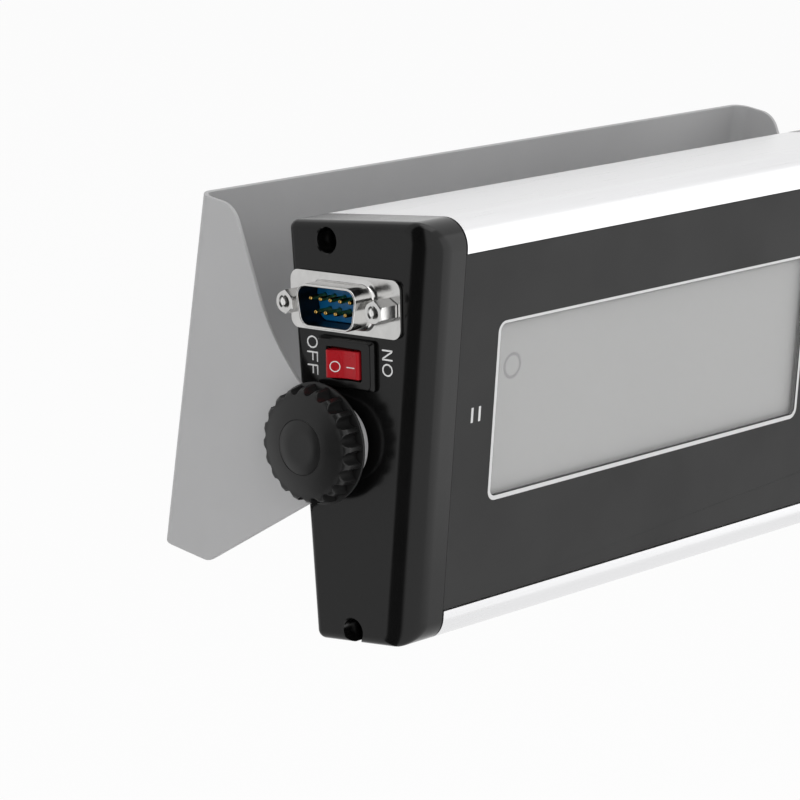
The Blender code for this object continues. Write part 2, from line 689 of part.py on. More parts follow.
def hexagon(flats, y=0.0, z=0.0):
    """A hexagon with corners above and below, with a point also in the middle of each flat."""
    points = []
    for k in range(12):
        turn = math.radians(30 * k)
        radius = flats / 2 if k % 2 == 0 else flats / 2 / math.cos(math.radians(30))
        points.append(Vector((y + radius * math.cos(turn), z + radius * math.sin(turn))))
    return points


def make_jack_screw(name, y, base):
    """Hexagonal standoff with a chamfered, threaded mouth and a tail through the flange."""
    mouth = base - JACK_RISE
    floor = mouth + JACK_THREAD_DEPTH
    crest = JACK_FLATS / 2 / math.cos(math.radians(30))
    hexa = hexagon(JACK_FLATS, y)
    chamfer = crest - JACK_FLATS / 2
    profile = [(JACK_TAIL_LENGTH, JACK_TAIL), (base, JACK_TAIL), (base, None), (mouth + chamfer, None),
               (mouth, JACK_FLATS / 2), (mouth, JACK_THREAD + 0.3), (mouth + 0.3, JACK_THREAD), (floor, JACK_THREAD)]
    rings = []
    for x, radius in profile:
        outline = circle(radius, y, 0, 12) if radius else hexa
        rings.append([across(x, *point) for point in outline])
    finish(loft(bmesh.new(), rings), name, tinned, left_panel)


def make_switch():
    """Rocker switch: bezel and body in one moulding, rocker on its pivot, two blades behind."""
    z = -SWITCH_BELOW_CONNECTOR
    back = -SEAT
    front = back - BEZEL_RISE
    floor = front + ROCKER_PIVOT + ROCKER_REACH
    body = rectangle(SWITCH_WIDTH, SWITCH_HEIGHT, 0.5, 0, z, 3)
    bezel = rectangle(BEZEL_WIDTH, BEZEL_HEIGHT, BEZEL_CORNER, 0, z, 3)
    bezel_top = rectangle(BEZEL_WIDTH - 0.8, BEZEL_HEIGHT - 0.8, BEZEL_CORNER, 0, z, 3)
    well = rectangle(2 * (ROCKER_REACH + SLIP), ROCKER_HEIGHT + 2 * SLIP, 0.3, 0, z, 3)
    rings = [(SWITCH_DEPTH, body), (back, body), (back, bezel), (front + 0.4, bezel), (front, bezel_top),
             (front, well), (floor, well)]
    solid = [[across(x, *point) for point in outline] for x, outline in rings]
    finish(loft(bmesh.new(), solid), "switch_housing", black, left_panel)

    pivot = empty("rocker_pivot", (front + ROCKER_PIVOT, 0, z), 0.0, left_panel)
    pivot.rotation_euler = (0.0, 0.0, math.radians(ROCKER_THROW))
    cheek = [math.radians(a) for a in (-34, -22, -10, 2, 14, 24)]
    left = [(ROCKER_REACH * math.cos(a), -ROCKER_REACH * math.sin(a)) for a in cheek]
    crown = [(left[-1][0] - 0.5, left[-1][1] - 0.25)]
    saddle = [(0.0, -ROCKER_REACH * 0.3)]
    mirrored = [(-y, x) for y, x in reversed(left + crown)]
    outline = [Vector((y, x)) for y, x in left + crown + saddle + mirrored]
    mesh = prism(bmesh.new(), outline, [], -ROCKER_HEIGHT / 2, ROCKER_HEIGHT / 2, lambda h, y, x: Vector((x, y, h)))
    finish(mesh, "switch_rocker", red, pivot)

    blade_start = SWITCH_DEPTH + SEAT
    for name, y in (("front", -TERMINAL_SPACING / 2), ("rear", TERMINAL_SPACING / 2)):
        blade = rectangle(TERMINAL_SHEET, TERMINAL_WIDTH, 0.1, y, z, 1)
        mesh = prism(bmesh.new(), blade, [], blade_start, blade_start + TERMINAL_LENGTH, across)
        finish(mesh, "switch_terminal_" + name, tinned, left_panel)


def knob_outline(body, hollows=True):
    """Outline of a knob at one plain radius: cut by the hollows, or round with the same points."""
    half = math.pi / KNOB_RIBS - KNOB_RIB_TOP / 2 / KNOB_CREST
    outline = []
    for rib in range(KNOB_RIBS):
        middle = math.radians(KNOB_TURN) + 2 * math.pi * rib / KNOB_RIBS
        for k in range(FLUTE + 1):
            turn = math.radians(180 * k / FLUTE - 90)
            angle = middle + half * math.sin(turn)
            hollow = KNOB_CREST - (KNOB_CREST - KNOB_VALLEY) * math.cos(turn)
            radius = min(body, hollow) if hollows else body
            outline.append(Vector((radius * math.cos(angle), radius * math.sin(angle))))
    return outline


def make_knob(side, end):
    """Knob with its stud and washer. The knob's origin is on the tilt axis."""
    out = side * EAR_OUTER
    rim = out + side * RIM_GAP
    grip = rim + side * KNOB_RIM_WIDTH
    crown = rim + side * KNOB_GRIP
    recess = rim + side * (KNOB_WASHER_SHEET + 2 * SEAT - RIM_GAP)
    stud_floor = rim + side * STUD_IN_KNOB
    top = KNOB_CREST - KNOB_DRAFT
    rings = [(rim, knob_outline(KNOB_RIM, False)), (grip, knob_outline(KNOB_RIM, False)),
             (grip, knob_outline(KNOB_CREST))]
    steps = 3
    for k in range(steps + 1):
        turn = math.radians(90 * k / steps)
        radius = KNOB_VALLEY + (top - KNOB_VALLEY) * math.cos(turn)
        rings.append((crown - side * KNOB_SHOULDER * (1 - math.sin(turn)), knob_outline(radius)))
    rings.append((crown + side * KNOB_DOME, knob_outline(KNOB_DISC)))
    solid = [[across(x, *point) for point in outline] for x, outline in rings]
    knob = finish(loft(bmesh.new(), solid), "knob_" + end, black, tilt_axis)
    bore = turned(bmesh.new(), [(rim - side, KNOB_WASHER + SLIP), (recess, KNOB_WASHER + SLIP),
                                (recess, STUD + SEAT), (stud_floor, STUD + SEAT)])
    combine(knob, cutter(bore, "knob_bore_" + end, tilt_axis), "DIFFERENCE")

    head = stud_floor - side * SEAT
    tail = rim - side * STUD_LENGTH
    stud = [(head, STUD - 0.2), (head - side * 0.3, STUD), (tail + side * 0.5, STUD), (tail, STUD - 0.5)]
    finish(turned(bmesh.new(), stud, count=16), "knob_stud_" + end, zinc, tilt_axis)

    low = out + side * SEAT
    ring = [(low, STUD_HOLE), (low, KNOB_WASHER), (low + side * KNOB_WASHER_SHEET, KNOB_WASHER),
            (low + side * KNOB_WASHER_SHEET, STUD_HOLE)]
    finish(turned(bmesh.new(), ring, closed=True), "knob_washer_" + end, zinc, tilt_axis)

    low, high = side * (HALF + SEAT), side * (EAR_INNER - SEAT)
    ring = [(low, STUD_HOLE), (low, KNOB_WASHER + 0.8), (high, KNOB_WASHER + 0.8), (high, STUD_HOLE)]
    finish(turned(bmesh.new(), ring, closed=True), "friction_washer_" + end, soft_black, tilt_axis)

    near = side * (HALF - CAP_FACE)
    far = near - side * INSERT_LENGTH
    ring = [(near, STUD + SEAT), (near, INSERT), (far, INSERT), (far, STUD + SEAT)]
    finish(turned(bmesh.new(), ring, count=24, closed=True), "cap_insert_" + end, brass, tilt_axis)


def make_front():
    """Front panel, pane, display, keys and the board that carries them, in the slanted frame."""
    end = HALF - CAP_DEPTH - SEAT
    back, front = POCKET - SEAT, PANEL_BELOW_LIP
    edge_z = (PANEL_TOP_Z - SEAT, PANEL_BOTTOM_Z + SEAT)
    sheet = rectangle(2 * end, edge_z[0] - edge_z[1], 0.3, 0, sum(edge_z) / 2, 1)
    window = rectangle(WINDOW_WIDTH, WINDOW_HEIGHT, WINDOW_CORNER, WINDOW_X, WINDOW_Z)
    keys = [rectangle(KEY_WIDTH + 2 * SLIP, KEY_HEIGHT + 2 * SLIP, KEY_CORNER + SLIP, x, z) for x, z in key_places()]
    finish(prism(bmesh.new(), sheet, [window] + keys, back, front, into), "front_overlay", graphite, face_frame)

    pane = rectangle(WINDOW_WIDTH - 2 * SEAT, WINDOW_HEIGHT - 2 * SEAT, WINDOW_CORNER - SEAT, WINDOW_X, WINDOW_Z)
    finish(prism(bmesh.new(), pane, [], back, front, into), "display_window", clear, face_frame)

    def block(name, margin, near, far, finish_material):
        outline = rectangle(WINDOW_WIDTH + 2 * margin, WINDOW_HEIGHT + 2 * margin, 1.0, WINDOW_X, WINDOW_Z, 3)
        finish(prism(bmesh.new(), outline, [], near, far, into), name, finish_material, face_frame)

    block("lcd_glass", GLASS_MARGIN, GLASS_BEHIND_FACE, GLASS_BEHIND_FACE + GLASS_SHEET, display_grey)
    block("lcd_backlight", BACKLIGHT_MARGIN, BACKLIGHT_FRONT, BOARD_FRONT - SLIP, white)

    board_back = BOARD_FRONT + BOARD
    high = min(face_z(TOP - TUBE_WALL, BOARD_FRONT), face_z(TOP - TUBE_WALL, board_back)) - SLIP
    low = max(face_z(BOTTOM + TUBE_WALL, BOARD_FRONT), face_z(BOTTOM + TUBE_WALL, board_back)) + SLIP
    outline = rectangle(2 * BOARD_HALF, high - low, 0.5, 0, (high + low) / 2, 1)
    finish(prism(bmesh.new(), outline, [], BOARD_FRONT, board_back, into), "display_board", board_green, face_frame)

    for number, (x, z) in enumerate(key_places(), 1):
        make_key(number, x, z)
    return board_back


def make_key(number, x, z):
    """Key with its stem through the housing's front wall, and the switch that it presses."""
    front = -KEY_PROUD
    back = front + KEY_SHEET
    pad = rectangle(KEY_WIDTH, KEY_HEIGHT, KEY_CORNER)
    crown = rectangle(KEY_WIDTH - 0.8, KEY_HEIGHT - 0.8, KEY_CORNER - 0.4)
    stem = [Vector((KEY_STEM * point.x, KEY_STEM * point.y)) for point in (p.normalized() for p in pad)]
    rings = [(KEY_STEM_END, stem), (back, stem), (back, pad), (front + 0.3, pad), (front, crown)]
    solid = [[into(y, *point) for point in outline] for y, outline in rings]
    key = finish(loft(bmesh.new(), solid), "key_" + str(number), key_grey, face_frame)
    key.location = Vector((x, 0, z)) * MM

    base = BOARD_FRONT - SLIP
    body = rectangle(KEY_SWITCH, KEY_SWITCH, 0.4, facets=2)
    tip = [Vector((KEY_PLUNGER * p.x, KEY_PLUNGER * p.y)) for p in (q.normalized() for q in body)]
    crest = base - KEY_SWITCH_HEIGHT
    rings = [(base, body), (crest, body), (crest, tip), (crest - KEY_PLUNGER_RISE, tip)]
    solid = [[into(y, *point) for point in outline] for y, outline in rings]
    switch = finish(loft(bmesh.new(), solid), "key_switch_" + str(number), black, face_frame)
    switch.location = Vector((x, 0, z)) * MM


def make_electronics(board_back):
    """Main board in the rear rails with what stands on it, and the ribbon to the display board."""
    near = MAIN_SLOT + SLIP
    top, bottom = TOP - TUBE_WALL - SLIP, BOTTOM + TUBE_WALL + SLIP
    outline = rectangle(2 * BOARD_HALF, top - bottom, 0.5, 0, (top + bottom) / 2, 1)
    mesh = prism(bmesh.new(), outline, [], near, near + BOARD, into)
    finish(mesh, "main_board", board_green, tilt_axis)

    seat = near - SEAT
    for name, place in (("processor_chip", PROCESSOR_PLACE), ("converter_chip", CONVERTER_PLACE)):
        mesh = prism(bmesh.new(), rectangle(CHIP, CHIP, 0.4, *place, 1), [], seat, seat - CHIP_HEIGHT, into)
        finish(mesh, name, black, tilt_axis)
    mesh = prism(bmesh.new(), circle(CAPACITOR, *CAPACITOR_PLACE, DRILL), [], seat, seat - CAPACITOR_HEIGHT, into)
    finish(mesh, "capacitor", silver, tilt_axis)

    outline = rectangle(HEADER_LENGTH, HEADER_WIDTH, 0.3, 0, HEADER_RISE, 1)
    mesh = prism(bmesh.new(), outline, [], seat, seat - HEADER_HEIGHT, into)
    finish(mesh, "board_header_main", white, tilt_axis)

    deep = board_back + SEAT
    place = face_z(HEADER_RISE, deep)
    outline = rectangle(HEADER_LENGTH, HEADER_WIDTH, 0.3, 0, place, 1)
    mesh = prism(bmesh.new(), outline, [], deep, deep + HEADER_HEIGHT, into)
    finish(mesh, "board_header_display", white, face_frame)

    rear_end = Vector((seat - HEADER_HEIGHT - SEAT, HEADER_RISE))
    tip = deep + HEADER_HEIGHT + SEAT
    front_end = Vector((FRONT_TOP + tip * math.cos(SLOPE) - place * math.sin(SLOPE),
                        TOP + tip * math.sin(SLOPE) + place * math.cos(SLOPE)))
    middle = []
    steps = 12
    for k in range(steps + 1):
        share = k / steps
        point = rear_end.lerp(front_end, share)
        middle.append(point - Vector((0, RIBBON_SAG * math.sin(math.pi * share))))
    upper = [point + Vector((0, RIBBON_SHEET / 2)) for point in middle]
    lower = [point - Vector((0, RIBBON_SHEET / 2)) for point in middle]
    mesh = prism(bmesh.new(), upper + lower[::-1], [], -RIBBON_WIDTH / 2, RIBBON_WIDTH / 2, across)
    finish(mesh, "ribbon_cable", key_grey, tilt_axis)


def nut(name, flats, hole, low, high, y):
    mesh = prism(bmesh.new(), hexagon(flats, y), [circle(hole, y, 0)], low, high, across)
    finish(mesh, name, tinned, right_panel)


def make_sockets():
    """Power inlet and load-cell socket on the right end cap, each held by its nut."""
    body, mouth = INLET - SEAT, SEAT + INLET_RISE
    floor = mouth - INLET_DEPTH
    profile = [(floor - INLET_FLOOR, body), (mouth, body), (mouth, INLET_MOUTH), (floor, INLET_MOUTH),
               (floor, INLET_PIN), (mouth - INLET_PIN_BACK, INLET_PIN)]
    finish(turned(bmesh.new(), profile, INLET_Y, count=20), "power_inlet", black, right_panel)
    nut("power_inlet_nut", INLET_NUT_FLATS, INLET, SEAT, SEAT + INLET_NUT_SHEET, INLET_Y)

    body, rise, y = SOCKET - SEAT, SOCKET_RISE, SOCKET_FROM_PANEL
    tube = [(-SOCKET_DEPTH, SOCKET_MOUTH), (-SOCKET_DEPTH, body), (rise, body), (rise, SOCKET_MOUTH)]
    finish(turned(bmesh.new(), tube, y, closed=True), "load_cell_socket", tinned, right_panel)
    contacts = [circle(CONTACT, *point, 8) for point in circle(CONTACT_CIRCLE, y, 0, CONTACT_COUNT)]
    low, high = SOCKET_TAIL - SOCKET_DEPTH, rise - SOCKET_FACE_BACK
    mesh = prism(bmesh.new(), circle(SOCKET_MOUTH - SEAT, y), contacts, low, high, across)
    finish(mesh, "load_cell_socket_insert", black, right_panel)
    nut("load_cell_socket_nut", SOCKET_NUT_FLATS, SOCKET, SEAT, SEAT + SOCKET_NUT_SHEET, y)


make_bracket()
make_housing()
for side, end in ((-1, "left"), (1, "right")):
    make_cap(side, "end_cap_" + end)
    make_cap_screws(side, end)
    make_knob(side, end)
make_connector()
make_switch()
make_electronics(make_front())
make_sockets()
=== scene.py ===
# %% [markdown]
# # The display unit of a parcel scale, in its wall bracket
#
# The real unit is a slanted aluminium extrusion, closed at each end by a moulded cap. A sheet-steel
# bracket carries it on the wall, and two scalloped knobs clamp its tilt. The CAD model already holds
# every piece at its real size and place. This script gives those pieces their fine surface: rounded
# edges, drawn metal, moulded ribs, printing and finishes. We work in millimetres in a few local
# frames, because the unit leans back in its bracket and its front leans once more.

# %% Load the frame
import json
import math

import bmesh
import bpy
from mathutils import Matrix, Vector


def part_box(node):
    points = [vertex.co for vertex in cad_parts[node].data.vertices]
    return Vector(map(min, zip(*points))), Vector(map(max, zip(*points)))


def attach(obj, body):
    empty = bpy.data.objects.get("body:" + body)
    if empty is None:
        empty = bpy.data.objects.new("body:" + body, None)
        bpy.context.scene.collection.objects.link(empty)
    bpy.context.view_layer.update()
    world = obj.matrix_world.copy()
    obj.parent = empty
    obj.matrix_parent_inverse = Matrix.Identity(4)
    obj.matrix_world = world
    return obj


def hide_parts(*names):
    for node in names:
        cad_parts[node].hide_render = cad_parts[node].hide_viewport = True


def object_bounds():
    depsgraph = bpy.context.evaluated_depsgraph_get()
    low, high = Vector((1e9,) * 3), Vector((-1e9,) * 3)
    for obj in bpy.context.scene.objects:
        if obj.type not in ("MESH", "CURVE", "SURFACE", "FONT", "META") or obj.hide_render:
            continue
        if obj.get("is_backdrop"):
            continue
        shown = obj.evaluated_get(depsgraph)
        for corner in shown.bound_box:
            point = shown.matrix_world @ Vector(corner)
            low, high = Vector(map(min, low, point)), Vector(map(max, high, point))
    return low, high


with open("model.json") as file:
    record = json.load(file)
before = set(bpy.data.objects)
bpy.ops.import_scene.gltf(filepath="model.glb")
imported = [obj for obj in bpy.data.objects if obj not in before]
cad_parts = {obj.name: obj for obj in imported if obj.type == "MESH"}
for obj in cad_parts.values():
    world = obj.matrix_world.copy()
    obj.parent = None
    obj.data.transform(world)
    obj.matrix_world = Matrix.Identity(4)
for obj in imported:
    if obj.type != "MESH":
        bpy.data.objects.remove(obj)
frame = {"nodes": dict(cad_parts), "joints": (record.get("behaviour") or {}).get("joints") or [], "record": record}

MM = 0.001
cad_box = [list(corner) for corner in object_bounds()]

# %% [markdown]
# ## Local frames
#
# The tilt joint says where the clamping axis is. The display's own frame sits on that axis, leans
# back by the rest tilt, and has X along the case and Z up its rear face. The front frame lies on the
# slanted front, and each end cap has a small frame for its connectors. A piece built in its own
# frame has round numbers, and one matrix then puts it in place.

# %% Frames of the display, its front and its end panels
REST_TILT = math.radians(14.08)
CONNECTOR_TURN = math.radians(3.45)
DEPTH_TOP = 41.5
DEPTH_BOTTOM = 26.3


def measured(node, place):
    """Lowest and highest corner of a CAD node in a local frame, in millimetres."""
    back = place.inverted()
    points = [back @ vertex.co / MM for vertex in frame["nodes"][node].data.vertices]
    low = Vector([min(point[i] for point in points) for i in range(3)])
    high = Vector([max(point[i] for point in points) for i in range(3)])
    return low, high


def moved(base, x, y, z, turn=0.0):
    """A frame at (x, y, z) millimetres in another, turned about X."""
    return base @ Matrix.Translation(Vector((x, y, z)) * MM) @ Matrix.Rotation(turn, 4, "X")


tilt = next(joint for joint in frame["joints"] if joint["name"] == "tilt")
AXIS = Vector(tilt["pos_m"])
WORLD = Matrix.Identity(4)
DISPLAY = Matrix.Translation(AXIS) @ Matrix.Rotation(-REST_TILT, 4, "X")
cap_low, cap_high = measured("end_cap_left", DISPLAY)
HALF = -cap_low.x
REAR, TOP, BOTTOM = cap_high.y, cap_high.z, cap_low.z
FRONT_TOP = REAR - DEPTH_TOP
FRONT_BOTTOM = REAR - DEPTH_BOTTOM
SLOPE = math.atan2(DEPTH_TOP - DEPTH_BOTTOM, TOP - BOTTOM)
FACE_LENGTH = (TOP - BOTTOM) / math.cos(SLOPE)
FACE = moved(DISPLAY, 0, FRONT_TOP, TOP, SLOPE)
PANEL_FROM_REAR = 15.9
PANEL_BELOW_TOP = 17.4
LEFT_PANEL = moved(DISPLAY, -HALF, REAR - PANEL_FROM_REAR, TOP - PANEL_BELOW_TOP, CONNECTOR_TURN)
RIGHT_PANEL = moved(DISPLAY, HALF, REAR - PANEL_FROM_REAR, TOP - PANEL_BELOW_TOP, CONNECTOR_TURN)
print("case over the caps:", round(2 * HALF, 2), "x", round(TOP - BOTTOM, 2), "mm")

# %% [markdown]
# ## The camera
#
# The photograph was taken with a long lens from the left, a little above the unit. The serial
# connector has a standard size, so its corners gave the camera's place, its three angles and its
# lens. The camera comes first, because every later look depends on it.

# %% Camera at the photograph's viewing angle
CAMERA_FROM_AXIS = Vector((-656.67, -481.72, 251.06))
CAMERA_ANGLES = (71.880, -6.845, -48.207)
SENSOR = 36.0
FOCAL_PIXELS = 3691.7
FRAME_PIXELS = 800

camera_data = bpy.data.cameras.new("camera")
camera_data.sensor_width = SENSOR
camera_data.lens = SENSOR * FOCAL_PIXELS / FRAME_PIXELS
camera = bpy.data.objects.new("camera", camera_data)
camera.location = AXIS + CAMERA_FROM_AXIS * MM
camera.rotation_euler = [math.radians(angle) for angle in CAMERA_ANGLES]
bpy.context.scene.collection.objects.link(camera)
bpy.context.scene.camera = camera
print("lens:", round(camera_data.lens, 1), "mm")

# %% [markdown]
# ## Outlines
#
# Sheet metal, extrusions and mouldings all start from an outline with rounded corners. An outline
# is a list of corners with a radius each, and every corner becomes an arc. That keeps the design in
# a few numbers, and the arcs can be as fine as the view needs.

# %% Outlines
ARC = 10
ROUND = 48


def rounded(corners, facets=ARC):
    """An outline from corners (u, v, radius), each corner replaced by an arc."""
    outline = []
    for i, (u, v, radius) in enumerate(corners):
        here = Vector((u, v))
        if radius == 0:
            outline.append(here)
            continue
        before = (Vector(corners[i - 1][:2]) - here).normalized()
        after = (Vector(corners[(i + 1) % len(corners)][:2]) - here).normalized()
        half = before.angle(after) / 2
        centre = here + (before + after).normalized() * radius / math.sin(half)
        first = here + before * radius / math.tan(half) - centre
        last = here + after * radius / math.tan(half) - centre
        sweep = first.angle_signed(last)
        for k in range(facets + 1):
            spoke = first.copy()
            spoke.rotate(Matrix.Rotation(-sweep * k / facets, 2))
            outline.append(centre + spoke)
    return outline


def rectangle(width, height, radius, u=0.0, v=0.0, facets=ARC):
    w, h = width / 2, height / 2
    corners = [(u + w, v + h), (u - w, v + h), (u - w, v - h), (u + w, v - h)]
    return rounded([(*corner, radius) for corner in corners], facets)


def circle(radius, u=0.0, v=0.0, count=ROUND):
    turns = [2 * math.pi * k / count for k in range(count)]
    return [Vector((u + radius * math.cos(a), v + radius * math.sin(a))) for a in turns]


def hexagon(flats, u=0.0, v=0.0):
    """A hexagon by its width over the flats, and the radius of its corners."""
    corner = flats / 2 / math.cos(math.radians(30))
    turns = [math.radians(30 + 60 * k) for k in range(6)]
    return [Vector((u + corner * math.cos(a), v + corner * math.sin(a))) for a in turns], corner


def inset(corners, distances):
    """Move each side of an anticlockwise polygon inwards by its own distance. Side i leaves corner i."""
    count = len(corners)
    points = [Vector(corner[:2]) for corner in corners]
    sides = []
    for i in range(count):
        along = (points[(i + 1) % count] - points[i]).normalized()
        inward = Vector((-along.y, along.x))
        sides.append((points[i] + inward * distances[i], along))
    result = []
    for i in range(count):
        (a, u), (b, v) = sides[i - 1], sides[i]
        meet = a + u * ((b - a).cross(v) / u.cross(v))
        shrink = (distances[i - 1] + distances[i]) / 2
        result.append((meet.x, meet.y, max(corners[i][2] - shrink, 0.4)))
    return result


print("an M4 hole has", len(circle(2.4)), "points")

# %% [markdown]
# ## From outlines to solids
#
# Three operations make almost every piece: an outline pushed straight through (a prism), rings of
# equal length joined one after another (a loft), and a profile turned about an axis. Holes and slots
# that cross a curved surface are carved with a Boolean instead, as a mill would cut them.

# %% Prisms, lofts and turned shapes


def across(x, u, v):
    return Vector((x, u, v))


def into(y, u, v):
    return Vector((u, y, v))


def upward(z, u, v):
    return Vector((u, v, z))


def prism(mesh, outline, holes, low, high, place):
    """Extrude an outline with its holes from low to high."""
    start, partner = [], {}
    for loop in [outline] + holes:
        lower = [mesh.verts.new(place(low, *point)) for point in loop]
        upper = [mesh.verts.new(place(high, *point)) for point in loop]
        partner.update(zip(lower, upper))
        for i in range(len(lower)):
            a, b = lower[i - 1], lower[i]
            start.append(mesh.edges.new((a, b)))
            mesh.faces.new((a, b, partner[b], partner[a]))
    filled = bmesh.ops.triangle_fill(mesh, use_beauty=True, edges=start)
    for face in [item for item in filled["geom"] if isinstance(item, bmesh.types.BMFace)]:
        mesh.faces.new([partner[corner] for corner in reversed(face.verts)])
    return mesh


def loft(mesh, rings, closed=False):
    """Join rings of equal length with faces. The ends are filled unless it closes on itself."""
    made = [[mesh.verts.new(point) for point in ring] for ring in rings]
    count = len(rings[0])
    pairs = list(zip(made, made[1:]))
    if closed:
        pairs.append((made[-1], made[0]))
    for one, two in pairs:
        for i in range(count):
            mesh.faces.new((one[i - 1], one[i], two[i], two[i - 1]))
    if not closed:
        mesh.faces.new(made[0])
        mesh.faces.new(made[-1])
    return mesh


def turned(mesh, profile, u=0.0, v=0.0, count=ROUND, closed=False):
    """Revolve (x, radius) points about a line along the case."""
    rings = [[across(x, *point) for point in circle(radius, u, v, count)] for x, radius in profile]
    return loft(mesh, rings, closed)


def quarter(x, radius, depth, out, steps=6):
    """Profile points of a rounded edge that ends at (x, radius). out is 1 where x grows outwards."""
    points = []
    for k in range(steps + 1):
        turn = math.pi / 2 * k / steps
        points.append((x - out * depth * (1 - math.sin(turn)), radius - depth * (1 - math.cos(turn))))
    return points


# %% [markdown]
# ## Finished pieces
#
# A piece gets its material, the body that it moves with, and the CAD nodes that it stands for,
# which it hides. Real edges are never perfectly sharp, so a small bevel lets them catch the light.
# Weighted normals keep the flat faces beside such a bevel flat.

# %% Pieces, carving and soft edges
finishes = {}
made_pieces = []


def in_metres(mesh, name, place):
    """Put a mesh in local millimetres at its place, as a new object."""
    bmesh.ops.recalc_face_normals(mesh, faces=mesh.faces)
    data = bpy.data.meshes.new(name)
    mesh.to_mesh(data)
    mesh.free()
    data.transform(place @ Matrix.Scale(MM, 4))
    made = bpy.data.objects.new(name, data)
    bpy.context.scene.collection.objects.link(made)
    return made


def piece(mesh, name, place, finish, body, stands_for=(), sharp=32.0):
    """Turn a mesh in local millimetres into a named piece that rides on a body."""
    made = in_metres(mesh, name, place)
    made.data.shade_smooth()
    made.data.set_sharp_from_angle(angle=math.radians(sharp))
    made.data.materials.append(finishes[finish])
    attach(made, body)
    if stands_for:
        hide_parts(*stands_for)
    made_pieces.append(name)
    return made


def carve(target, tool_mesh, place, operation="DIFFERENCE", sharp=32.0):
    """Cut, join or trim a piece with another mesh, and keep only the result."""
    tool = in_metres(tool_mesh, "tool", place)
    step = target.modifiers.new("carve", "BOOLEAN")
    step.operation = operation
    step.solver = "EXACT"
    step.object = tool
    bpy.context.view_layer.update()
    evaluated = target.evaluated_get(bpy.context.evaluated_depsgraph_get())
    result = bpy.data.meshes.new_from_object(evaluated)
    target.modifiers.clear()
    target.data = result
    result.shade_smooth()
    result.set_sharp_from_angle(angle=math.radians(sharp))
    bpy.data.objects.remove(tool, do_unlink=True)


def soften(target, width, segments=2, angle=32.0):
    """Round the sharp edges of a piece by a width in millimetres."""
    if width:
        bevel = target.modifiers.new("edge", "BEVEL")
        bevel.width = width * MM
        bevel.segments = segments
        bevel.limit_method = "ANGLE"
        bevel.angle_limit = math.radians(angle)
        bevel.harden_normals = False
        bevel.use_clamp_overlap = True
    normals = target.modifiers.new("flat_faces", "WEIGHTED_NORMAL")
    normals.keep_sharp = True
    normals.weight = 80


# %% [markdown]
# ## Finishes
#
# Each finish is a Principled shader whose colour, roughness and bump vary a little at the scale of
# the real surface: the orange peel of powder coat, the drawn lines of an extrusion, the spark-eroded
# grain of a mould. Object coordinates are used throughout, so the pattern stays on a piece when it
# moves. The noise is three-dimensional, so no unwrapping is needed.

# %% Tools for finishes


def start_finish(slot, roughness, metallic=0.0, specular=0.5):
    made = bpy.data.materials.new(slot)
    made.use_nodes = True
    shader = made.node_tree.nodes["Principled BSDF"]
    shader.inputs["Roughness"].default_value = roughness
    shader.inputs["Metallic"].default_value = metallic
    shader.inputs["Specular IOR Level"].default_value = specular
    finishes[slot] = made
    return made.node_tree, shader


def pattern(tree, size, stretch=(1.0, 1.0, 1.0), detail=3.0, roughness=0.55):
    """Noise whose features are about size millimetres across. stretch lengthens it along an axis."""
    place = tree.nodes.new("ShaderNodeTexCoord")
    scale = tree.nodes.new("ShaderNodeMapping")
    scale.inputs["Scale"].default_value = [1 / (size * MM * share) for share in stretch]
    noise = tree.nodes.new("ShaderNodeTexNoise")
    noise.inputs["Scale"].default_value = 1.0
    noise.inputs["Detail"].default_value = detail
    noise.inputs["Roughness"].default_value = roughness
    tree.links.new(place.outputs["Object"], scale.inputs["Vector"])
    tree.links.new(scale.outputs["Vector"], noise.inputs["Vector"])
    return noise.outputs["Fac"]


def ramp(tree, source, low, high, start=0.3, end=0.7):
    """Spread a pattern between two colours."""
    node = tree.nodes.new("ShaderNodeValToRGB")
    node.color_ramp.elements[0].position = start
    node.color_ramp.elements[0].color = (*low, 1.0)
    node.color_ramp.elements[1].position = end
    node.color_ramp.elements[1].color = (*high, 1.0)
    tree.links.new(source, node.inputs["Fac"])
    return node.outputs["Color"]


def spread(tree, source, low, high):
    """Spread a pattern between two numbers."""
    node = tree.nodes.new("ShaderNodeMapRange")
    node.inputs["From Min"].default_value = 0.3
    node.inputs["From Max"].default_value = 0.7
    node.inputs["To Min"].default_value = low
    node.inputs["To Max"].default_value = high
    tree.links.new(source, node.inputs["Value"])
    return node.outputs["Result"]


def bump(tree, shader, source, height, strength=1.0, below=None):
    """Raise the surface by a pattern, height in millimetres. below is an earlier bump to build on."""
    node = tree.nodes.new("ShaderNodeBump")
    node.inputs["Strength"].default_value = strength
    node.inputs["Distance"].default_value = height * MM
    tree.links.new(source, node.inputs["Height"])
    if below:
        tree.links.new(below, node.inputs["Normal"])
    tree.links.new(node.outputs["Normal"], shader.inputs["Normal"])
    return node.outputs["Normal"]


def grey(level, tint=(1.0, 1.0, 1.0)):
    return tuple(level * share for share in tint)


def coat(slot, colour, variation, size, grain, grain_height, roughness, metallic=0.0, specular=0.5,
         stretch=(1.0, 1.0, 1.0), rough_change=0.06):
    """A finish with broad tone changes, a fine grain and roughness that follows the tone."""
    tree, shader = start_finish(slot, roughness, metallic, specular)
    broad = pattern(tree, size, stretch)
    low = tuple(channel * (1 - variation) for channel in colour)
    high = tuple(min(channel * (1 + variation), 1.0) for channel in colour)
    tree.links.new(ramp(tree, broad, low, high), shader.inputs["Base Color"])
    tree.links.new(spread(tree, broad, roughness - rough_change, roughness + rough_change),
                   shader.inputs["Roughness"])
    normal = None
    if grain_height:
        normal = bump(tree, shader, pattern(tree, grain, stretch, 2.0), grain_height)
    return tree, shader, normal


# %% [markdown]
# Paint and plastic first. The bracket's powder coat has a soft orange peel over a fine grain. The
# mouldings are glossy with a very fine grain, the knobs duller, and the front film is matt.

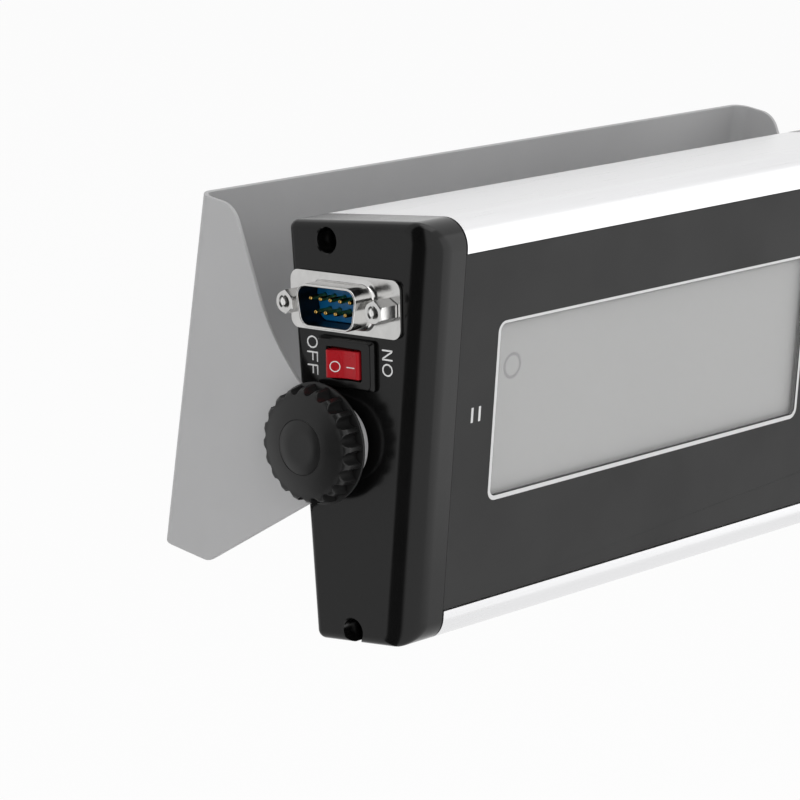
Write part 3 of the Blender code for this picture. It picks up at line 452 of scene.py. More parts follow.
# %% Paints, plastics and rubber
tree, shader, normal = coat("bracket_steel", grey(0.42, (1, 1, 1.01)), 0.02, 18.0, 0.12, 0.004, 0.36)
bump(tree, shader, pattern(tree, 0.9, detail=1.0), 0.012, 0.5, normal)
coat("moulded_black", grey(0.0035), 0.06, 9.0, 0.16, 0.0012, 0.17, specular=0.35, rough_change=0.02)
coat("knob_black", grey(0.010), 0.06, 9.0, 0.16, 0.002, 0.34, specular=0.4)
coat("rubber_black", grey(0.018), 0.1, 4.0, 0.3, 0.02, 0.75)
coat("panel_graphite", grey(0.018), 0.03, 25.0, 0.11, 0.003, 0.5, specular=0.25)
coat("display_grey", grey(0.49, (1, 1, 0.995)), 0.012, 60.0, 0.3, 0.0, 0.4, rough_change=0.01)
coat("backlight_white", grey(0.72, (1, 1, 0.97)), 0.03, 12.0, 0.4, 0.003, 0.5)
coat("key_grey", grey(0.09), 0.05, 6.0, 0.14, 0.006, 0.48)
coat("insulator_blue", (0.002, 0.13, 0.34), 0.06, 3.0, 0.2, 0.003, 0.3)
coat("rocker_red", (0.38, 0.006, 0.012), 0.04, 4.0, 0.4, 0.001, 0.3, specular=0.3)
coat("board_green", (0.012, 0.11, 0.035), 0.12, 2.2, 0.25, 0.004, 0.35)
print("paints and plastics:", len(finishes))

# %% [markdown]
# Metals next. Extruded metal has lines along the direction in which it was pulled, so the noise is
# stretched along the case. Plated and turned parts get a finer, even grain. The inside of the drawn
# connector shell gets a dark, dull skin of painted shade, where the real steel lies in shade.

# %% Metals
LINES = (60.0, 1.0, 1.0)
coat("extruded_aluminium", grey(0.80, (1, 1, 1.01)), 0.012, 0.5, 0.12, 0.0005, 0.3, 1.0, stretch=LINES,
     rough_change=0.03)
coat("tinned_steel", (0.76, 0.755, 0.745), 0.05, 2.5, 0.12, 0.001, 0.17, 1.0, rough_change=0.03)
# Painted shade: a dark, dull steel for the skin inside the connector shell, standing for the shade that falls
# there.
coat("shell_painted_shade", grey(0.05), 0.08, 2.0, 0.12, 0.001, 0.35, 1.0)
coat("screw_zinc", (0.55, 0.55, 0.54), 0.08, 1.2, 0.1, 0.002, 0.32, 1.0)
coat("contact_gold", (0.80, 0.50, 0.14), 0.06, 1.0, 0.1, 0.001, 0.22, 1.0)
coat("insert_brass", (0.62, 0.42, 0.14), 0.08, 1.5, 0.12, 0.002, 0.33, 1.0)
print("finishes:", len(finishes))

# %% [markdown]
# The pane is clear plastic film. Alpha lets the light through to the display behind it without
# darkening it, while the shader still gives a soft reflection. The printing ink is white.

# %% Clear pane and ink
tree, shader, normal = coat("clear_pane", grey(0.60), 0.01, 60.0, 0.4, 0.0, 0.12, rough_change=0.01)
shader.inputs["Alpha"].default_value = 0.12
coat("white_ink", grey(0.72), 0.03, 3.0, 0.15, 0.002, 0.45)
coat("faint_segment", grey(0.33), 0.02, 4.0, 0.3, 0.001, 0.4)
print("all finishes:", sorted(finishes))

# %% [markdown]
# The CAD nodes that stay, mostly pieces inside the case, get the same finishes through their
# material slots. The record says which slot each node has.

# %% Finishes on the CAD nodes
for entry in frame["record"]["subparts"]:
    node = frame["nodes"][entry["node"]]
    node.data.materials.clear()
    node.data.materials.append(finishes[entry["material_slot"]])

# %% [markdown]
# ## The bracket
#
# On the real unit this is one steel sheet, 1 mm thick, with an ear folded forward at each end. Each
# ear runs out to a short nose around the clamping axis. We push the U-shaped section upwards, then
# trim it with the ears' side outline, which is how the flat blank would be cut.

# %% Outline of the ears
EAR_TOP_REACH = 32.3
EAR_TOP_CORNER = 6.0
EAR_WAIST_REACH = 18.3
EAR_WAIST_RISE = 19.6
EAR_WAIST_BLEND = 50.0
EAR_NECK_REACH = 7.0
EAR_NECK_BLEND = 8.0
EAR_NOSE_RISE = 10.1
EAR_NOSE_REACH = 12.6
EAR_NOSE_DROP = 2.8
EAR_NOSE_CORNER = 8.5
EAR_BOTTOM_REACH = 28.0
EAR_BOTTOM_CORNER = 4.0

bracket_low, bracket_high = (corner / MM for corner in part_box("bracket"))
AXIS_TO_WALL = -AXIS.y / MM
PLATE_TOP = bracket_high.z - AXIS.z / MM
PLATE_BOTTOM = bracket_low.z - AXIS.z / MM


def ear_outline():
    """The bracket seen from its side, measured from the clamping axis towards the wall and up."""
    wall = AXIS_TO_WALL + 1.0
    return rounded([(wall, PLATE_TOP, 0), (wall, PLATE_BOTTOM, 0),
                    (EAR_BOTTOM_REACH, PLATE_BOTTOM, EAR_BOTTOM_CORNER),
                    (-EAR_NOSE_REACH, -EAR_NOSE_DROP, EAR_NOSE_CORNER),
                    (-EAR_NOSE_REACH, EAR_NOSE_RISE, EAR_NOSE_CORNER),
                    (EAR_NECK_REACH, EAR_NOSE_RISE, EAR_NECK_BLEND),
                    (EAR_WAIST_REACH, EAR_WAIST_RISE, EAR_WAIST_BLEND),
                    (EAR_TOP_REACH, PLATE_TOP, EAR_TOP_CORNER)], 2 * ARC)


print("ear outline:", len(ear_outline()), "points")

# %% The bent sheet
SHEET = 1.0
BEND = 4.0
EAR_OUTER = bracket_high.x
STUD_HOLE = 3.3
WALL_HOLE = 2.4
WALL_HOLE_SIDE = 60.0
WALL_HOLE_RISE = 22.0


def make_bracket():
    ear_inner = EAR_OUTER - SHEET
    reach = -AXIS_TO_WALL - EAR_NOSE_REACH - 1.0
    inner = BEND - SHEET
    channel = rounded([(-EAR_OUTER, reach, 0), (-EAR_OUTER, 0, BEND), (EAR_OUTER, 0, BEND),
                       (EAR_OUTER, reach, 0), (ear_inner, reach, 0), (ear_inner, -SHEET, inner),
                       (-ear_inner, -SHEET, inner), (-ear_inner, reach, 0)])
    mesh = prism(bmesh.new(), channel, [], bracket_low.z - 1, bracket_high.z + 1, upward)
    sheet = piece(mesh, "bracket_sheet", WORLD, "bracket_steel", "bracket", ["bracket"])
    axis_z = AXIS.z / MM
    side = [Vector((point.x - AXIS_TO_WALL, point.y + axis_z)) for point in ear_outline()]
    hole = circle(STUD_HOLE, -AXIS_TO_WALL, axis_z)
    trim = prism(bmesh.new(), side, [hole], -EAR_OUTER - 1, EAR_OUTER + 1, across)
    carve(sheet, trim, WORLD, "INTERSECT")
    drills = bmesh.new()
    for x in (-WALL_HOLE_SIDE, WALL_HOLE_SIDE):
        for z in (-WALL_HOLE_RISE, WALL_HOLE_RISE):
            prism(drills, circle(WALL_HOLE, x, z), [], -SHEET - 1, 1, into)
    carve(sheet, drills, WORLD)
    soften(sheet, 0.16)
    return sheet


print("bracket faces:", len(make_bracket().data.polygons))

# %% [markdown]
# ## The case
#
# The case is an aluminium extrusion, so its shape is one section pushed along X. The section has a
# large round corner at the top and bottom of the slanted front, and a shallow pocket in that front
# for the panel. Two round ports take the end caps' screws, and the front wall is opened behind the
# display and behind each key.

# %% Section of the case
REAR_CORNER = 2.0
FRONT_TOP_CORNER = 6.0
FRONT_BOTTOM_CORNER = 5.4
TUBE_WALL = 1.8
POCKET = 1.5
POCKET_BELOW_TOP = 7.9
POCKET_ABOVE_BOTTOM = 6.25
SCREW_Y = REAR - 11.0
SCREW_TOP_Z = TOP - 4.2
SCREW_BOTTOM_Z = BOTTOM + 2.6
PORT = 2.7
PORT_CORNER = 1.2
PORT_BORE = 1.2
SEAT = 0.2
SLIP = 0.3
PANEL_TOP_Z = -POCKET_BELOW_TOP
PANEL_BOTTOM_Z = POCKET_ABOVE_BOTTOM - FACE_LENGTH


def section():
    """Corners of the outside: rear top, front top, front bottom, rear bottom."""
    return [(REAR, TOP, REAR_CORNER), (FRONT_TOP, TOP, FRONT_TOP_CORNER),
            (FRONT_BOTTOM, BOTTOM, FRONT_BOTTOM_CORNER), (REAR, BOTTOM, REAR_CORNER)]


def on_face(z, depth):
    """A place on the slanted front, as a point of the section."""
    return (FRONT_TOP + depth * math.cos(SLOPE) - z * math.sin(SLOPE),
            TOP + depth * math.sin(SLOPE) + z * math.cos(SLOPE), 0)


tube_low, tube_high = measured("housing_tube", DISPLAY)
TUBE_END = tube_high.x
print("extrusion:", round(2 * TUBE_END, 1), "mm long")

# %% Window and keys on the front
WINDOW_FROM_END = 24.4
WINDOW_WIDTH = 110.8
WINDOW_HEIGHT = 37.8
WINDOW_BELOW_TOP = 24.8
WINDOW_CORNER = 1.6
WINDOW_LEFT = -HALF + WINDOW_FROM_END
WINDOW_X = WINDOW_LEFT + WINDOW_WIDTH / 2
WINDOW_Z = -WINDOW_BELOW_TOP - WINDOW_HEIGHT / 2
GLASS_ROOM = 4.6
STEM_ROOM = 2.5
FRONT_CUT = 4.1
KEYS = ["key_" + str(number) for number in range(1, 5)]


def key_place(name):
    low, high = measured(name, FACE)
    return (low.x + high.x) / 2, (low.z + high.z) / 2


def make_case():
    pocket = [on_face(PANEL_TOP_Z, 0), on_face(PANEL_TOP_Z, POCKET),
              on_face(PANEL_BOTTOM_Z, POCKET), on_face(PANEL_BOTTOM_Z, 0)]
    corners = section()
    outside = rounded(corners[:2] + pocket + corners[2:])
    wall = [TUBE_WALL, POCKET + 1.6, TUBE_WALL, TUBE_WALL]
    inside = rounded(inset(section(), wall), 4)
    mesh = prism(bmesh.new(), outside, [inside], -TUBE_END, TUBE_END, across)
    case = piece(mesh, "case_extrusion", DISPLAY, "extruded_aluminium", "display", ["housing_tube"])
    ports = bmesh.new()
    for z, wall_z in ((SCREW_TOP_Z, TOP - TUBE_WALL / 2), (SCREW_BOTTOM_Z, BOTTOM + TUBE_WALL / 2)):
        reach = z - math.copysign(PORT, wall_z)
        block = rounded([(SCREW_Y + PORT, wall_z, 0), (SCREW_Y - PORT, wall_z, 0),
                         (SCREW_Y - PORT, reach, PORT_CORNER),
                         (SCREW_Y + PORT, reach, PORT_CORNER)][::-1])
        prism(ports, block, [], -TUBE_END, TUBE_END, across)
    carve(case, ports, DISPLAY, "UNION")
    bores = bmesh.new()
    for z in (SCREW_TOP_Z, SCREW_BOTTOM_Z):
        prism(bores, circle(PORT_BORE, SCREW_Y, z, 24), [], -TUBE_END - 1, TUBE_END + 1, across)
    carve(case, bores, DISPLAY)
    openings = bmesh.new()
    glass = rectangle(WINDOW_WIDTH + GLASS_ROOM, WINDOW_HEIGHT + GLASS_ROOM, WINDOW_CORNER,
                      WINDOW_X, WINDOW_Z)
    prism(openings, glass, [], -1, FRONT_CUT, into)
    for name in KEYS:
        prism(openings, circle(STEM_ROOM, *key_place(name), 24), [], -1, FRONT_CUT, into)
    carve(case, openings, FACE)
    soften(case, 0.12)
    return case


print("case faces:", len(make_case().data.polygons))

# %% [markdown]
# ## The end caps
#
# Each cap is a deep moulding of the same outline. Its edge rolls over in a quarter circle at the
# rear, top and bottom and in a much longer one at the front, so we loft rings whose sides move in by
# their own amounts. Behind the face it is hollow, with a screw post above and below and a boss for
# the threaded insert. The screws sit deep in counterbores.

# %% Cap body
CAP_DEPTH = 11.1
CAP_FACE = 3.0
CAP_WALL = 2.5
CAP_EDGES = [2.0, 6.5, 2.0, 2.0]
COUNTERBORE = 2.75
COUNTERBORE_DEPTH = 7.0
INSERT = 4.5
INSERT_LENGTH = 5.5
POST_WALL = 1.2
BOSS_WALL = 1.6
SCREW_HOLE = 1.6
COUNTERBORE_LEAD = 0.25
CAP_STEP = 0.22


def cap_ring(face, side, distances, depths):
    """One ring of a cap: its sides moved in by distances and set back from the face by depths."""
    ring = []
    for i, point in enumerate(rounded(inset(section(), distances))):
        corner, k = divmod(i, ARC + 1)
        share = (1 - math.cos(math.pi * k / ARC)) / 2
        depth = depths[corner - 1] * (1 - share) + depths[corner] * share
        ring.append(across(face - side * depth, *point))
    return ring


def cap_rings(face, side):
    """Rings from the groove beside the case, along the wall and over the rounded edge."""
    rings = []
    for inwards, depth in ((CAP_STEP, CAP_DEPTH), (CAP_STEP, CAP_DEPTH - CAP_STEP),
                           (0.0, CAP_DEPTH - CAP_STEP)):
        rings.append(cap_ring(face, side, [inwards] * 4, [depth] * 4))
    steps = 12
    for k in range(steps + 1):
        turn = math.pi / 2 * k / steps
        distances = [edge * (1 - math.cos(turn)) for edge in CAP_EDGES]
        rings.append(cap_ring(face, side, distances, [edge * (1 - math.sin(turn)) for edge in CAP_EDGES]))
    return rings


def cap_posts(face, side):
    """Screw posts and the insert's boss, behind the cap's face."""
    posts = bmesh.new()
    near, far = face - side * (CAP_FACE - 1), face - side * (CAP_DEPTH - SEAT)
    width = COUNTERBORE + POST_WALL
    for z, wall in ((SCREW_TOP_Z, TOP - CAP_WALL / 2), (SCREW_BOTTOM_Z, BOTTOM + CAP_WALL / 2)):
        reach = z - math.copysign(width, wall)
        block = [(SCREW_Y + width, wall), (SCREW_Y - width, wall),
                 (SCREW_Y - width, reach), (SCREW_Y + width, reach)]
        prism(posts, [Vector(point) for point in block], [], near, far, across)
    prism(posts, circle(INSERT + BOSS_WALL), [], near, face - side * (CAP_FACE + INSERT_LENGTH), across)
    return posts


# %% Holes in the caps
INSULATOR = (19.4, 10.4)
JACK_SPACING = 24.99
JACK_TAIL = 1.4
SWITCH_BELOW = 12.65
SWITCH_BODY = (13.0, 8.6)
SOCKET = 5.5
SOCKET_Y = 3.2
INLET = 4.0
INLET_Y = SOCKET_Y - 14.0


def panel_cutters(side):
    """Cut-outs for the connector and the switch, or for the two sockets."""
    drills = bmesh.new()
    low, high = -1.0, CAP_DEPTH + 1
    if side < 0:
        block = rectangle(INSULATOR[0] + 2 * SLIP, INSULATOR[1] + 2 * SLIP, 1.0)
        prism(drills, block, [], low, high, across)
        for y in (-JACK_SPACING / 2, JACK_SPACING / 2):
            prism(drills, circle(JACK_TAIL + SEAT, y, 0, 24), [], low, 6.3, across)
        body = rectangle(SWITCH_BODY[0] + 2 * SLIP, SWITCH_BODY[1] + 2 * SLIP, 0.6, 0, -SWITCH_BELOW)
        prism(drills, body, [], low, high, across)
    else:
        prism(drills, circle(SOCKET + SEAT, SOCKET_Y, 0), [], -low, -high, across)
        prism(drills, circle(INLET + SEAT, INLET_Y, 0), [], -low, -high, across)
    return drills


def cap_drills(face, side):
    """Counterbores with a small lead-in, and the bore for the stud and its insert."""
    drills = bmesh.new()
    floor = face - side * COUNTERBORE_DEPTH
    end = face - side * (CAP_DEPTH + 1)
    for z in (SCREW_TOP_Z, SCREW_BOTTOM_Z):
        profile = [(face + side, COUNTERBORE + COUNTERBORE_LEAD + 1),
                   (face - side * COUNTERBORE_LEAD, COUNTERBORE),
                   (floor, COUNTERBORE), (floor, SCREW_HOLE), (end, SCREW_HOLE)]
        turned(drills, profile, SCREW_Y, z)
    seat = face - side * (CAP_FACE - SEAT)
    turned(drills, [(face + side, STUD_HOLE), (seat, STUD_HOLE), (seat, INSERT + SEAT),
                    (face - side * (CAP_FACE + INSERT_LENGTH + 1), INSERT + SEAT)])
    return drills


def make_cap(side, end, panel):
    face = side * HALF
    cap = piece(loft(bmesh.new(), cap_rings(face, side)), "cap_" + end, DISPLAY, "moulded_black",
                "display", ["end_cap_" + end])
    hollow = rounded(inset(section(), [CAP_WALL] * 4))
    depth = (face - side * CAP_FACE, face - side * (CAP_DEPTH + 1))
    carve(cap, prism(bmesh.new(), hollow, [], *depth, across), DISPLAY)
    carve(cap, cap_posts(face, side), DISPLAY, "UNION")
    carve(cap, panel_cutters(side), panel)
    carve(cap, cap_drills(face, side), DISPLAY)
    soften(cap, 0)
    return cap


for side, end, panel in ((-1, "left", LEFT_PANEL), (1, "right", RIGHT_PANEL)):
    print("cap", end, "faces:", len(make_cap(side, end, panel).data.polygons))

# %% [markdown]
# The caps' screws are pan-head screws with a cross recess. They sit at the bottom of the
# counterbores, so only the head shows. The head is turned, and the cross is two tapered wedges
# carved out of it.

# %% Cap screws
SCREW_HEAD = 2.5
SCREW_HEAD_HEIGHT = 1.9
SCREW_HEAD_EDGE = 0.9
SCREW_SHANK = 1.0
SCREW_LENGTH = 11.0


def make_cap_screw(side, end, place, z):
    floor = side * (HALF - COUNTERBORE_DEPTH + SEAT)
    crown = floor + side * SCREW_HEAD_HEIGHT
    edge = quarter(crown, SCREW_HEAD, SCREW_HEAD_EDGE, side)[::-1]
    profile = [(crown, 0.3)] + edge + [(floor, SCREW_HEAD), (floor, SCREW_SHANK),
                                       (floor - side * SCREW_LENGTH, SCREW_SHANK)]
    node = "cap_screw_" + end + "_" + place
    screw = piece(turned(bmesh.new(), profile, SCREW_Y, z, 32), node + "_head", DISPLAY, "screw_zinc",
                  "display", [node])
    for turn in (math.radians(20), math.radians(110)):
        rings = []
        for x, long, wide in ((crown + side, 1.75, 0.42), (crown - side * 1.3, 0.7, 0.25)):
            ring = []
            for a, b in ((long, wide), (-long, wide), (-long, -wide), (long, -wide)):
                y = SCREW_Y + a * math.cos(turn) - b * math.sin(turn)
                ring.append(across(x, y, z + a * math.sin(turn) + b * math.cos(turn)))
            rings.append(ring)
        carve(screw, loft(bmesh.new(), rings), DISPLAY)
    return screw


for side, end in ((-1, "left"), (1, "right")):
    for place, z in (("top", SCREW_TOP_Z), ("bottom", SCREW_BOTTOM_Z)):
        make_cap_screw(side, end, place, z)
print("pieces so far:", len(made_pieces))

# %% [markdown]
# ## The clamping knobs
#
# A knob is one moulding: a thin round rim against the washer, a grip with 20 narrow ribs between
# round hollows, a rounded edge and a smooth, slightly domed face with a fine ring where the mould's
# core met. Every ring of the loft uses the same angles. Its radius is that of the plain body, or
# that of the hollow where the hollow is deeper, so the hollows run out where the edge rounds over.

# %% Knobs
KNOB_RIM = 13.1
KNOB_CREST = 12.8
KNOB_DRAFT = 0.4
KNOB_VALLEY = 11.0
KNOB_RIBS = 20
KNOB_RIB_TOP = 1.0
KNOB_TURN = math.radians(9.6)
KNOB_RIM_WIDTH = 0.6
KNOB_GRIP = 4.9
KNOB_SHOULDER = 1.6
KNOB_DOME = 1.2
KNOB_DISC = 5.9
FLUTE = 12
RIB_EDGE = 0.13
STUD = 2.9
KNOB_WASHER = 8.0
KNOB_RECESS = 1.1
STUD_SEAT = 4.6
knob_low, knob_high = measured("knob_left", DISPLAY)
KNOB_BACK = -knob_high.x


def knob_outline(body, hollows=True):
    """The grip at one plain radius: cut by the hollows, or round with the same points."""
    half = math.pi / KNOB_RIBS - KNOB_RIB_TOP / 2 / KNOB_CREST
    points = [(-half - RIB_EDGE / KNOB_CREST, KNOB_CREST)]
    for k in range(FLUTE + 1):
        turn = math.pi * (k / FLUTE - 0.5)
        depth = (KNOB_CREST - KNOB_VALLEY) * math.cos(turn)
        points.append((half * math.sin(turn), KNOB_CREST - max(depth, RIB_EDGE)))
    points.append((half + RIB_EDGE / KNOB_CREST, KNOB_CREST))
    outline = []
    for rib in range(KNOB_RIBS):
        middle = KNOB_TURN + 2 * math.pi * rib / KNOB_RIBS
        for angle, hollow in points:
            radius = min(body, hollow) if hollows else body
            outline.append(Vector((radius * math.cos(middle + angle), radius * math.sin(middle + angle))))
    return outline


def knob_profile():
    """Rows of height above the knob's back and plain radius, from the end of the rim to the disc."""
    top = KNOB_CREST - KNOB_DRAFT
    rows = [(KNOB_RIM_WIDTH, KNOB_CREST - 0.1), (KNOB_RIM_WIDTH + 0.2, KNOB_CREST)]
    steps = 14
    for k in range(steps + 1):
        turn = math.pi / 2 * k / steps
        height = KNOB_GRIP - KNOB_SHOULDER * (1 - math.sin(turn))
        rows.append((height, KNOB_VALLEY + (top - KNOB_VALLEY) * math.cos(turn)))
    steps = 6
    for k in range(1, steps + 1):
        share = k / steps
        radius = KNOB_VALLEY + (KNOB_DISC + 0.12 - KNOB_VALLEY) * share
        rows.append((KNOB_GRIP + (KNOB_DOME - 0.04) * (1 - (1 - share) ** 1.3), radius))
    dome = KNOB_GRIP + KNOB_DOME
    return rows + [(dome - 0.16, KNOB_DISC), (dome - 0.04, KNOB_DISC - 0.12), (dome, 3.0), (dome, 1.0)]


def make_knob(side, end):
    back = side * KNOB_BACK
    edge = 0.12
    rim = [(0.0, KNOB_RIM - edge), (edge, KNOB_RIM), (KNOB_RIM_WIDTH - edge, KNOB_RIM),
           (KNOB_RIM_WIDTH, KNOB_RIM - edge)]
    rings = []
    for height, radius in rim:
        rings.append([across(back + side * height, *point) for point in knob_outline(radius, False)])
    for height, radius in knob_profile():
        rings.append([across(back + side * height, *point) for point in knob_outline(radius)])
    knob = piece(loft(bmesh.new(), rings), "knob_grip_" + end, DISPLAY, "knob_black",
                 "clamp_" + end, ["knob_" + end], 50.0)
    recess = back + side * KNOB_RECESS
    bore = turned(bmesh.new(), [(back - side, KNOB_WASHER + SLIP), (recess, KNOB_WASHER + SLIP),
                                (recess, STUD + SEAT), (back + side * STUD_SEAT, STUD + SEAT)])
    carve(knob, bore, DISPLAY, sharp=50.0)
    return knob


for side, end in ((-1, "left"), (1, "right")):
    print("knob", end, "faces:", len(make_knob(side, end).data.polygons))

# %% [markdown]
# ## The serial connector
#
# The shell is drawn from one steel plate: the flat flange flares up into a D-shaped wall and ends in
# a thin lip. One loft of D outlines makes the wall inside and out, and the flange is filled between
# its outer outline, the two screw holes and the first ring of the flare. Inside stand nine gold pins
# in a blue insulator.

# %% Connector shell
FLANGE = (30.8, 12.5)
FLANGE_CORNER = 2.2
FLANGE_SHEET = 0.6
SHELL = (17.8, 9.2)
SHELL_CORNER = 2.7
SHELL_SLANT = math.radians(10)
SHELL_SHEET = 0.5
SHELL_RISE = 6.0
SHELL_FLARE = 1.1
FLANGE_BACK = -SEAT
FLANGE_FRONT = FLANGE_BACK - FLANGE_SHEET


def shell_outline(grow):
    """The D of the connector, wider above."""
    lean = SHELL[1] * math.tan(SHELL_SLANT)
    w, h = SHELL[0] / 2, SHELL[1] / 2
    corners = [(w, h, SHELL_CORNER), (-w, h, SHELL_CORNER),
               (-w + lean, -h, SHELL_CORNER), (w - lean, -h, SHELL_CORNER)]
    return rounded(inset(corners, [-grow] * 4))


def shell_profile():
    """Rows of depth and growth, from the flange up the outside, over the lip and down the inside."""
    steps = 8
    rows = []
    for k in range(steps + 1):
        turn = math.pi / 2 * k / steps
        rows.append((FLANGE_FRONT - SHELL_FLARE * (1 - math.cos(turn)), SHELL_FLARE * (1 - math.sin(turn))))
    rim = FLANGE_FRONT - SHELL_RISE
    lip = SHELL_SHEET / 2
    for k in range(7):
        turn = math.pi * k / 6
        rows.append((rim + lip - lip * math.sin(turn), -lip + lip * math.cos(turn)))
    rows.append((FLANGE_BACK, -SHELL_SHEET))
    return rows


def make_shell():
    mesh = bmesh.new()
    rings = []
    for x, grow in shell_profile():
        rings.append([mesh.verts.new(across(x, *point)) for point in shell_outline(grow)])
    walls = list(zip(rings, rings[1:]))
    near = {"front": [rings[0]], "back": [rings[-1]]}
    holes = [circle(JACK_TAIL + SEAT, y, 0, 24) for y in (-JACK_SPACING / 2, JACK_SPACING / 2)]
    for outline in [rectangle(*FLANGE, FLANGE_CORNER)] + holes:
        near["front"].append([mesh.verts.new(across(FLANGE_FRONT, *point)) for point in outline])
        near["back"].append([mesh.verts.new(across(FLANGE_BACK, *point)) for point in outline])
        walls.append((near["front"][-1], near["back"][-1]))
    for one, two in walls:
        for i in range(len(one)):
            mesh.faces.new((one[i - 1], one[i], two[i], two[i - 1]))
    for loops in near.values():
        edges = [mesh.edges.get((loop[i - 1], loop[i])) for loop in loops for i in range(len(loop))]
        bmesh.ops.triangle_fill(mesh, use_beauty=True, edges=edges)
    shell = piece(mesh, "serial_shell", LEFT_PANEL, "tinned_steel", "display", ["connector_shell"])
    soften(shell, 0.14)
    return shell


def make_shell_painted_shade():
    """Painted shade inside the shell: a dark, dull skin 0.03 mm thick on its inner wall."""
    wall, skin = shell_outline(-SHELL_SHEET + 0.01), shell_outline(-SHELL_SHEET - 0.03)
    mesh = prism(bmesh.new(), wall, [skin], FLANGE_FRONT - SHELL_RISE + 0.3, FLANGE_FRONT, across)
    return piece(mesh, "serial_shell_painted_shade", LEFT_PANEL, "shell_painted_shade", "display")


print("shell faces:", len(make_shell().data.polygons))
print("inside faces:", len(make_shell_painted_shade().data.polygons))

# %% Insulator and pins
PIN_PITCH = 2.77
PIN_ROWS = 2.84
PIN = 0.5
PIN_RISE = 4.8
PIN_TAIL = 11.5

pin_places = [(PIN_PITCH * k, PIN_ROWS / 2) for k in (-2, -1, 0, 1, 2)]
pin_places += [(PIN_PITCH * k, -PIN_ROWS / 2) for k in (-1.5, -0.5, 0.5, 1.5)]


def make_insulator():
    holes = [circle(PIN + 0.1, y, z, 20) for y, z in pin_places]
    outline = shell_outline(-SHELL_SHEET - SEAT)
    mesh = prism(bmesh.new(), outline, holes, FLANGE_FRONT, 8.0, across)
    block = piece(mesh, "serial_insulator", LEFT_PANEL, "insulator_blue", "display",
                  ["connector_insulator"])
    soften(block, 0.06)
    return block


def make_pin(number, y, z):
    tip = FLANGE_FRONT - PIN_RISE
    dome = [(tip + PIN * (1 - math.cos(a)), max(PIN * math.sin(a), 0.04))
            for a in (math.pi / 2 * k / 6 for k in range(7))]
    mesh = turned(bmesh.new(), dome + [(PIN_TAIL, PIN)], y, z, 20)
    name = "serial_pin_" + str(number)
    return piece(mesh, name, LEFT_PANEL, "contact_gold", "display", ["connector_pin_" + str(number)])


make_insulator()
for number, (y, z) in enumerate(pin_places, 1):
    make_pin(number, y, z)
print("pins:", len(pin_places))

# %% [markdown]
# The jack screws are hexagonal. A lathe chamfers their front end, which leaves a small arc on each
# flat. We get the same arcs the same way: a hexagonal prism is trimmed by a turned cone. The bore
# has real thread grooves, because they show as dark rings in the mouth.

# %% Jack screws
JACK_FLATS = 4.5
JACK_RISE = 5.0
JACK_BORE = 1.2
THREAD_PITCH = 0.64
THREAD_DEPTH = 0.25
THREAD_LENGTH = 4.0
JACK_LEAD = 0.25
JACK_END = 6.0


def make_jack_screw(name, y):
    base = FLANGE_FRONT - SEAT
    mouth = base - JACK_RISE
    outline, corner = hexagon(JACK_FLATS, y)
    screw = piece(prism(bmesh.new(), outline, [], mouth, base, across), name + "_hex", LEFT_PANEL,
                  "tinned_steel", "display", [name])
    cone = turned(bmesh.new(), [(mouth - 0.01, JACK_FLATS / 2 - 0.05), (mouth + 0.42, corner + 0.1),
                                (base + 1, corner + 0.1)], y)
    carve(screw, cone, LEFT_PANEL, "INTERSECT")
    tail = turned(bmesh.new(), [(base - 0.5, JACK_TAIL), (JACK_END, JACK_TAIL)], y, 0, 32)
    carve(screw, tail, LEFT_PANEL, "UNION")
    x = mouth + JACK_LEAD
    profile = [(mouth - 0.3, JACK_BORE + 0.75), (x, JACK_BORE)]
    while x < mouth + THREAD_LENGTH:
        profile += [(x + THREAD_PITCH / 2, JACK_BORE + THREAD_DEPTH), (x + THREAD_PITCH, JACK_BORE)]
        x += THREAD_PITCH
    carve(screw, turned(bmesh.new(), profile, y, 0, 32), LEFT_PANEL)
    soften(screw, 0.05)
    return screw


for name, y in (("jackscrew_front", -JACK_SPACING / 2), ("jackscrew_rear", JACK_SPACING / 2)):
    print(name, "faces:", len(make_jack_screw(name, y).data.polygons))

# %% [markdown]
# ## The rocker switch
#
# The switch snaps into the cap: a bezel with a chamfered edge, a well, and a red rocker whose face
# is a very open V. Pressed on one side, the rocker stands proud on the other. Its side outline is an
# arc about the pivot at each end and the open V between them, pushed across the switch and softened.

# %% Switch
BEZEL = (15.8, 10.8)
BEZEL_CORNER = 0.9
BEZEL_RISE = 1.3
ROCKER_REACH = 4.4
ROCKER_HEIGHT = 5.9
ROCKER_PIVOT = 0.9
ROCKER_THROW = math.radians(11)
SWITCH_FRONT = -SEAT - BEZEL_RISE


def make_switch_housing():
    z = -SWITCH_BELOW
    floor = SWITCH_FRONT + ROCKER_PIVOT + ROCKER_REACH
    body = rectangle(*SWITCH_BODY, 0.5, 0, z)
    rows = [(11.0, body), (-SEAT, body), (-SEAT, rectangle(*BEZEL, BEZEL_CORNER, 0, z)),
            (SWITCH_FRONT + 0.75, rectangle(*BEZEL, BEZEL_CORNER, 0, z)),
            (SWITCH_FRONT, rectangle(BEZEL[0] - 1.1, BEZEL[1] - 1.1, BEZEL_CORNER, 0, z))]
    well = (2 * (ROCKER_REACH + SLIP), ROCKER_HEIGHT + 2 * SLIP)
    rows += [(SWITCH_FRONT, rectangle(well[0] + 0.5, well[1] + 0.5, 0.5, 0, z)),
             (SWITCH_FRONT + 0.25, rectangle(*well, 0.3, 0, z)), (floor, rectangle(*well, 0.3, 0, z))]
    rings = [[across(x, *point) for point in outline] for x, outline in rows]
    made = piece(loft(bmesh.new(), rings), "switch_bezel", LEFT_PANEL, "moulded_black", "display",
                 ["switch_housing"], 25.0)
    soften(made, 0.1, angle=25.0)
    return made


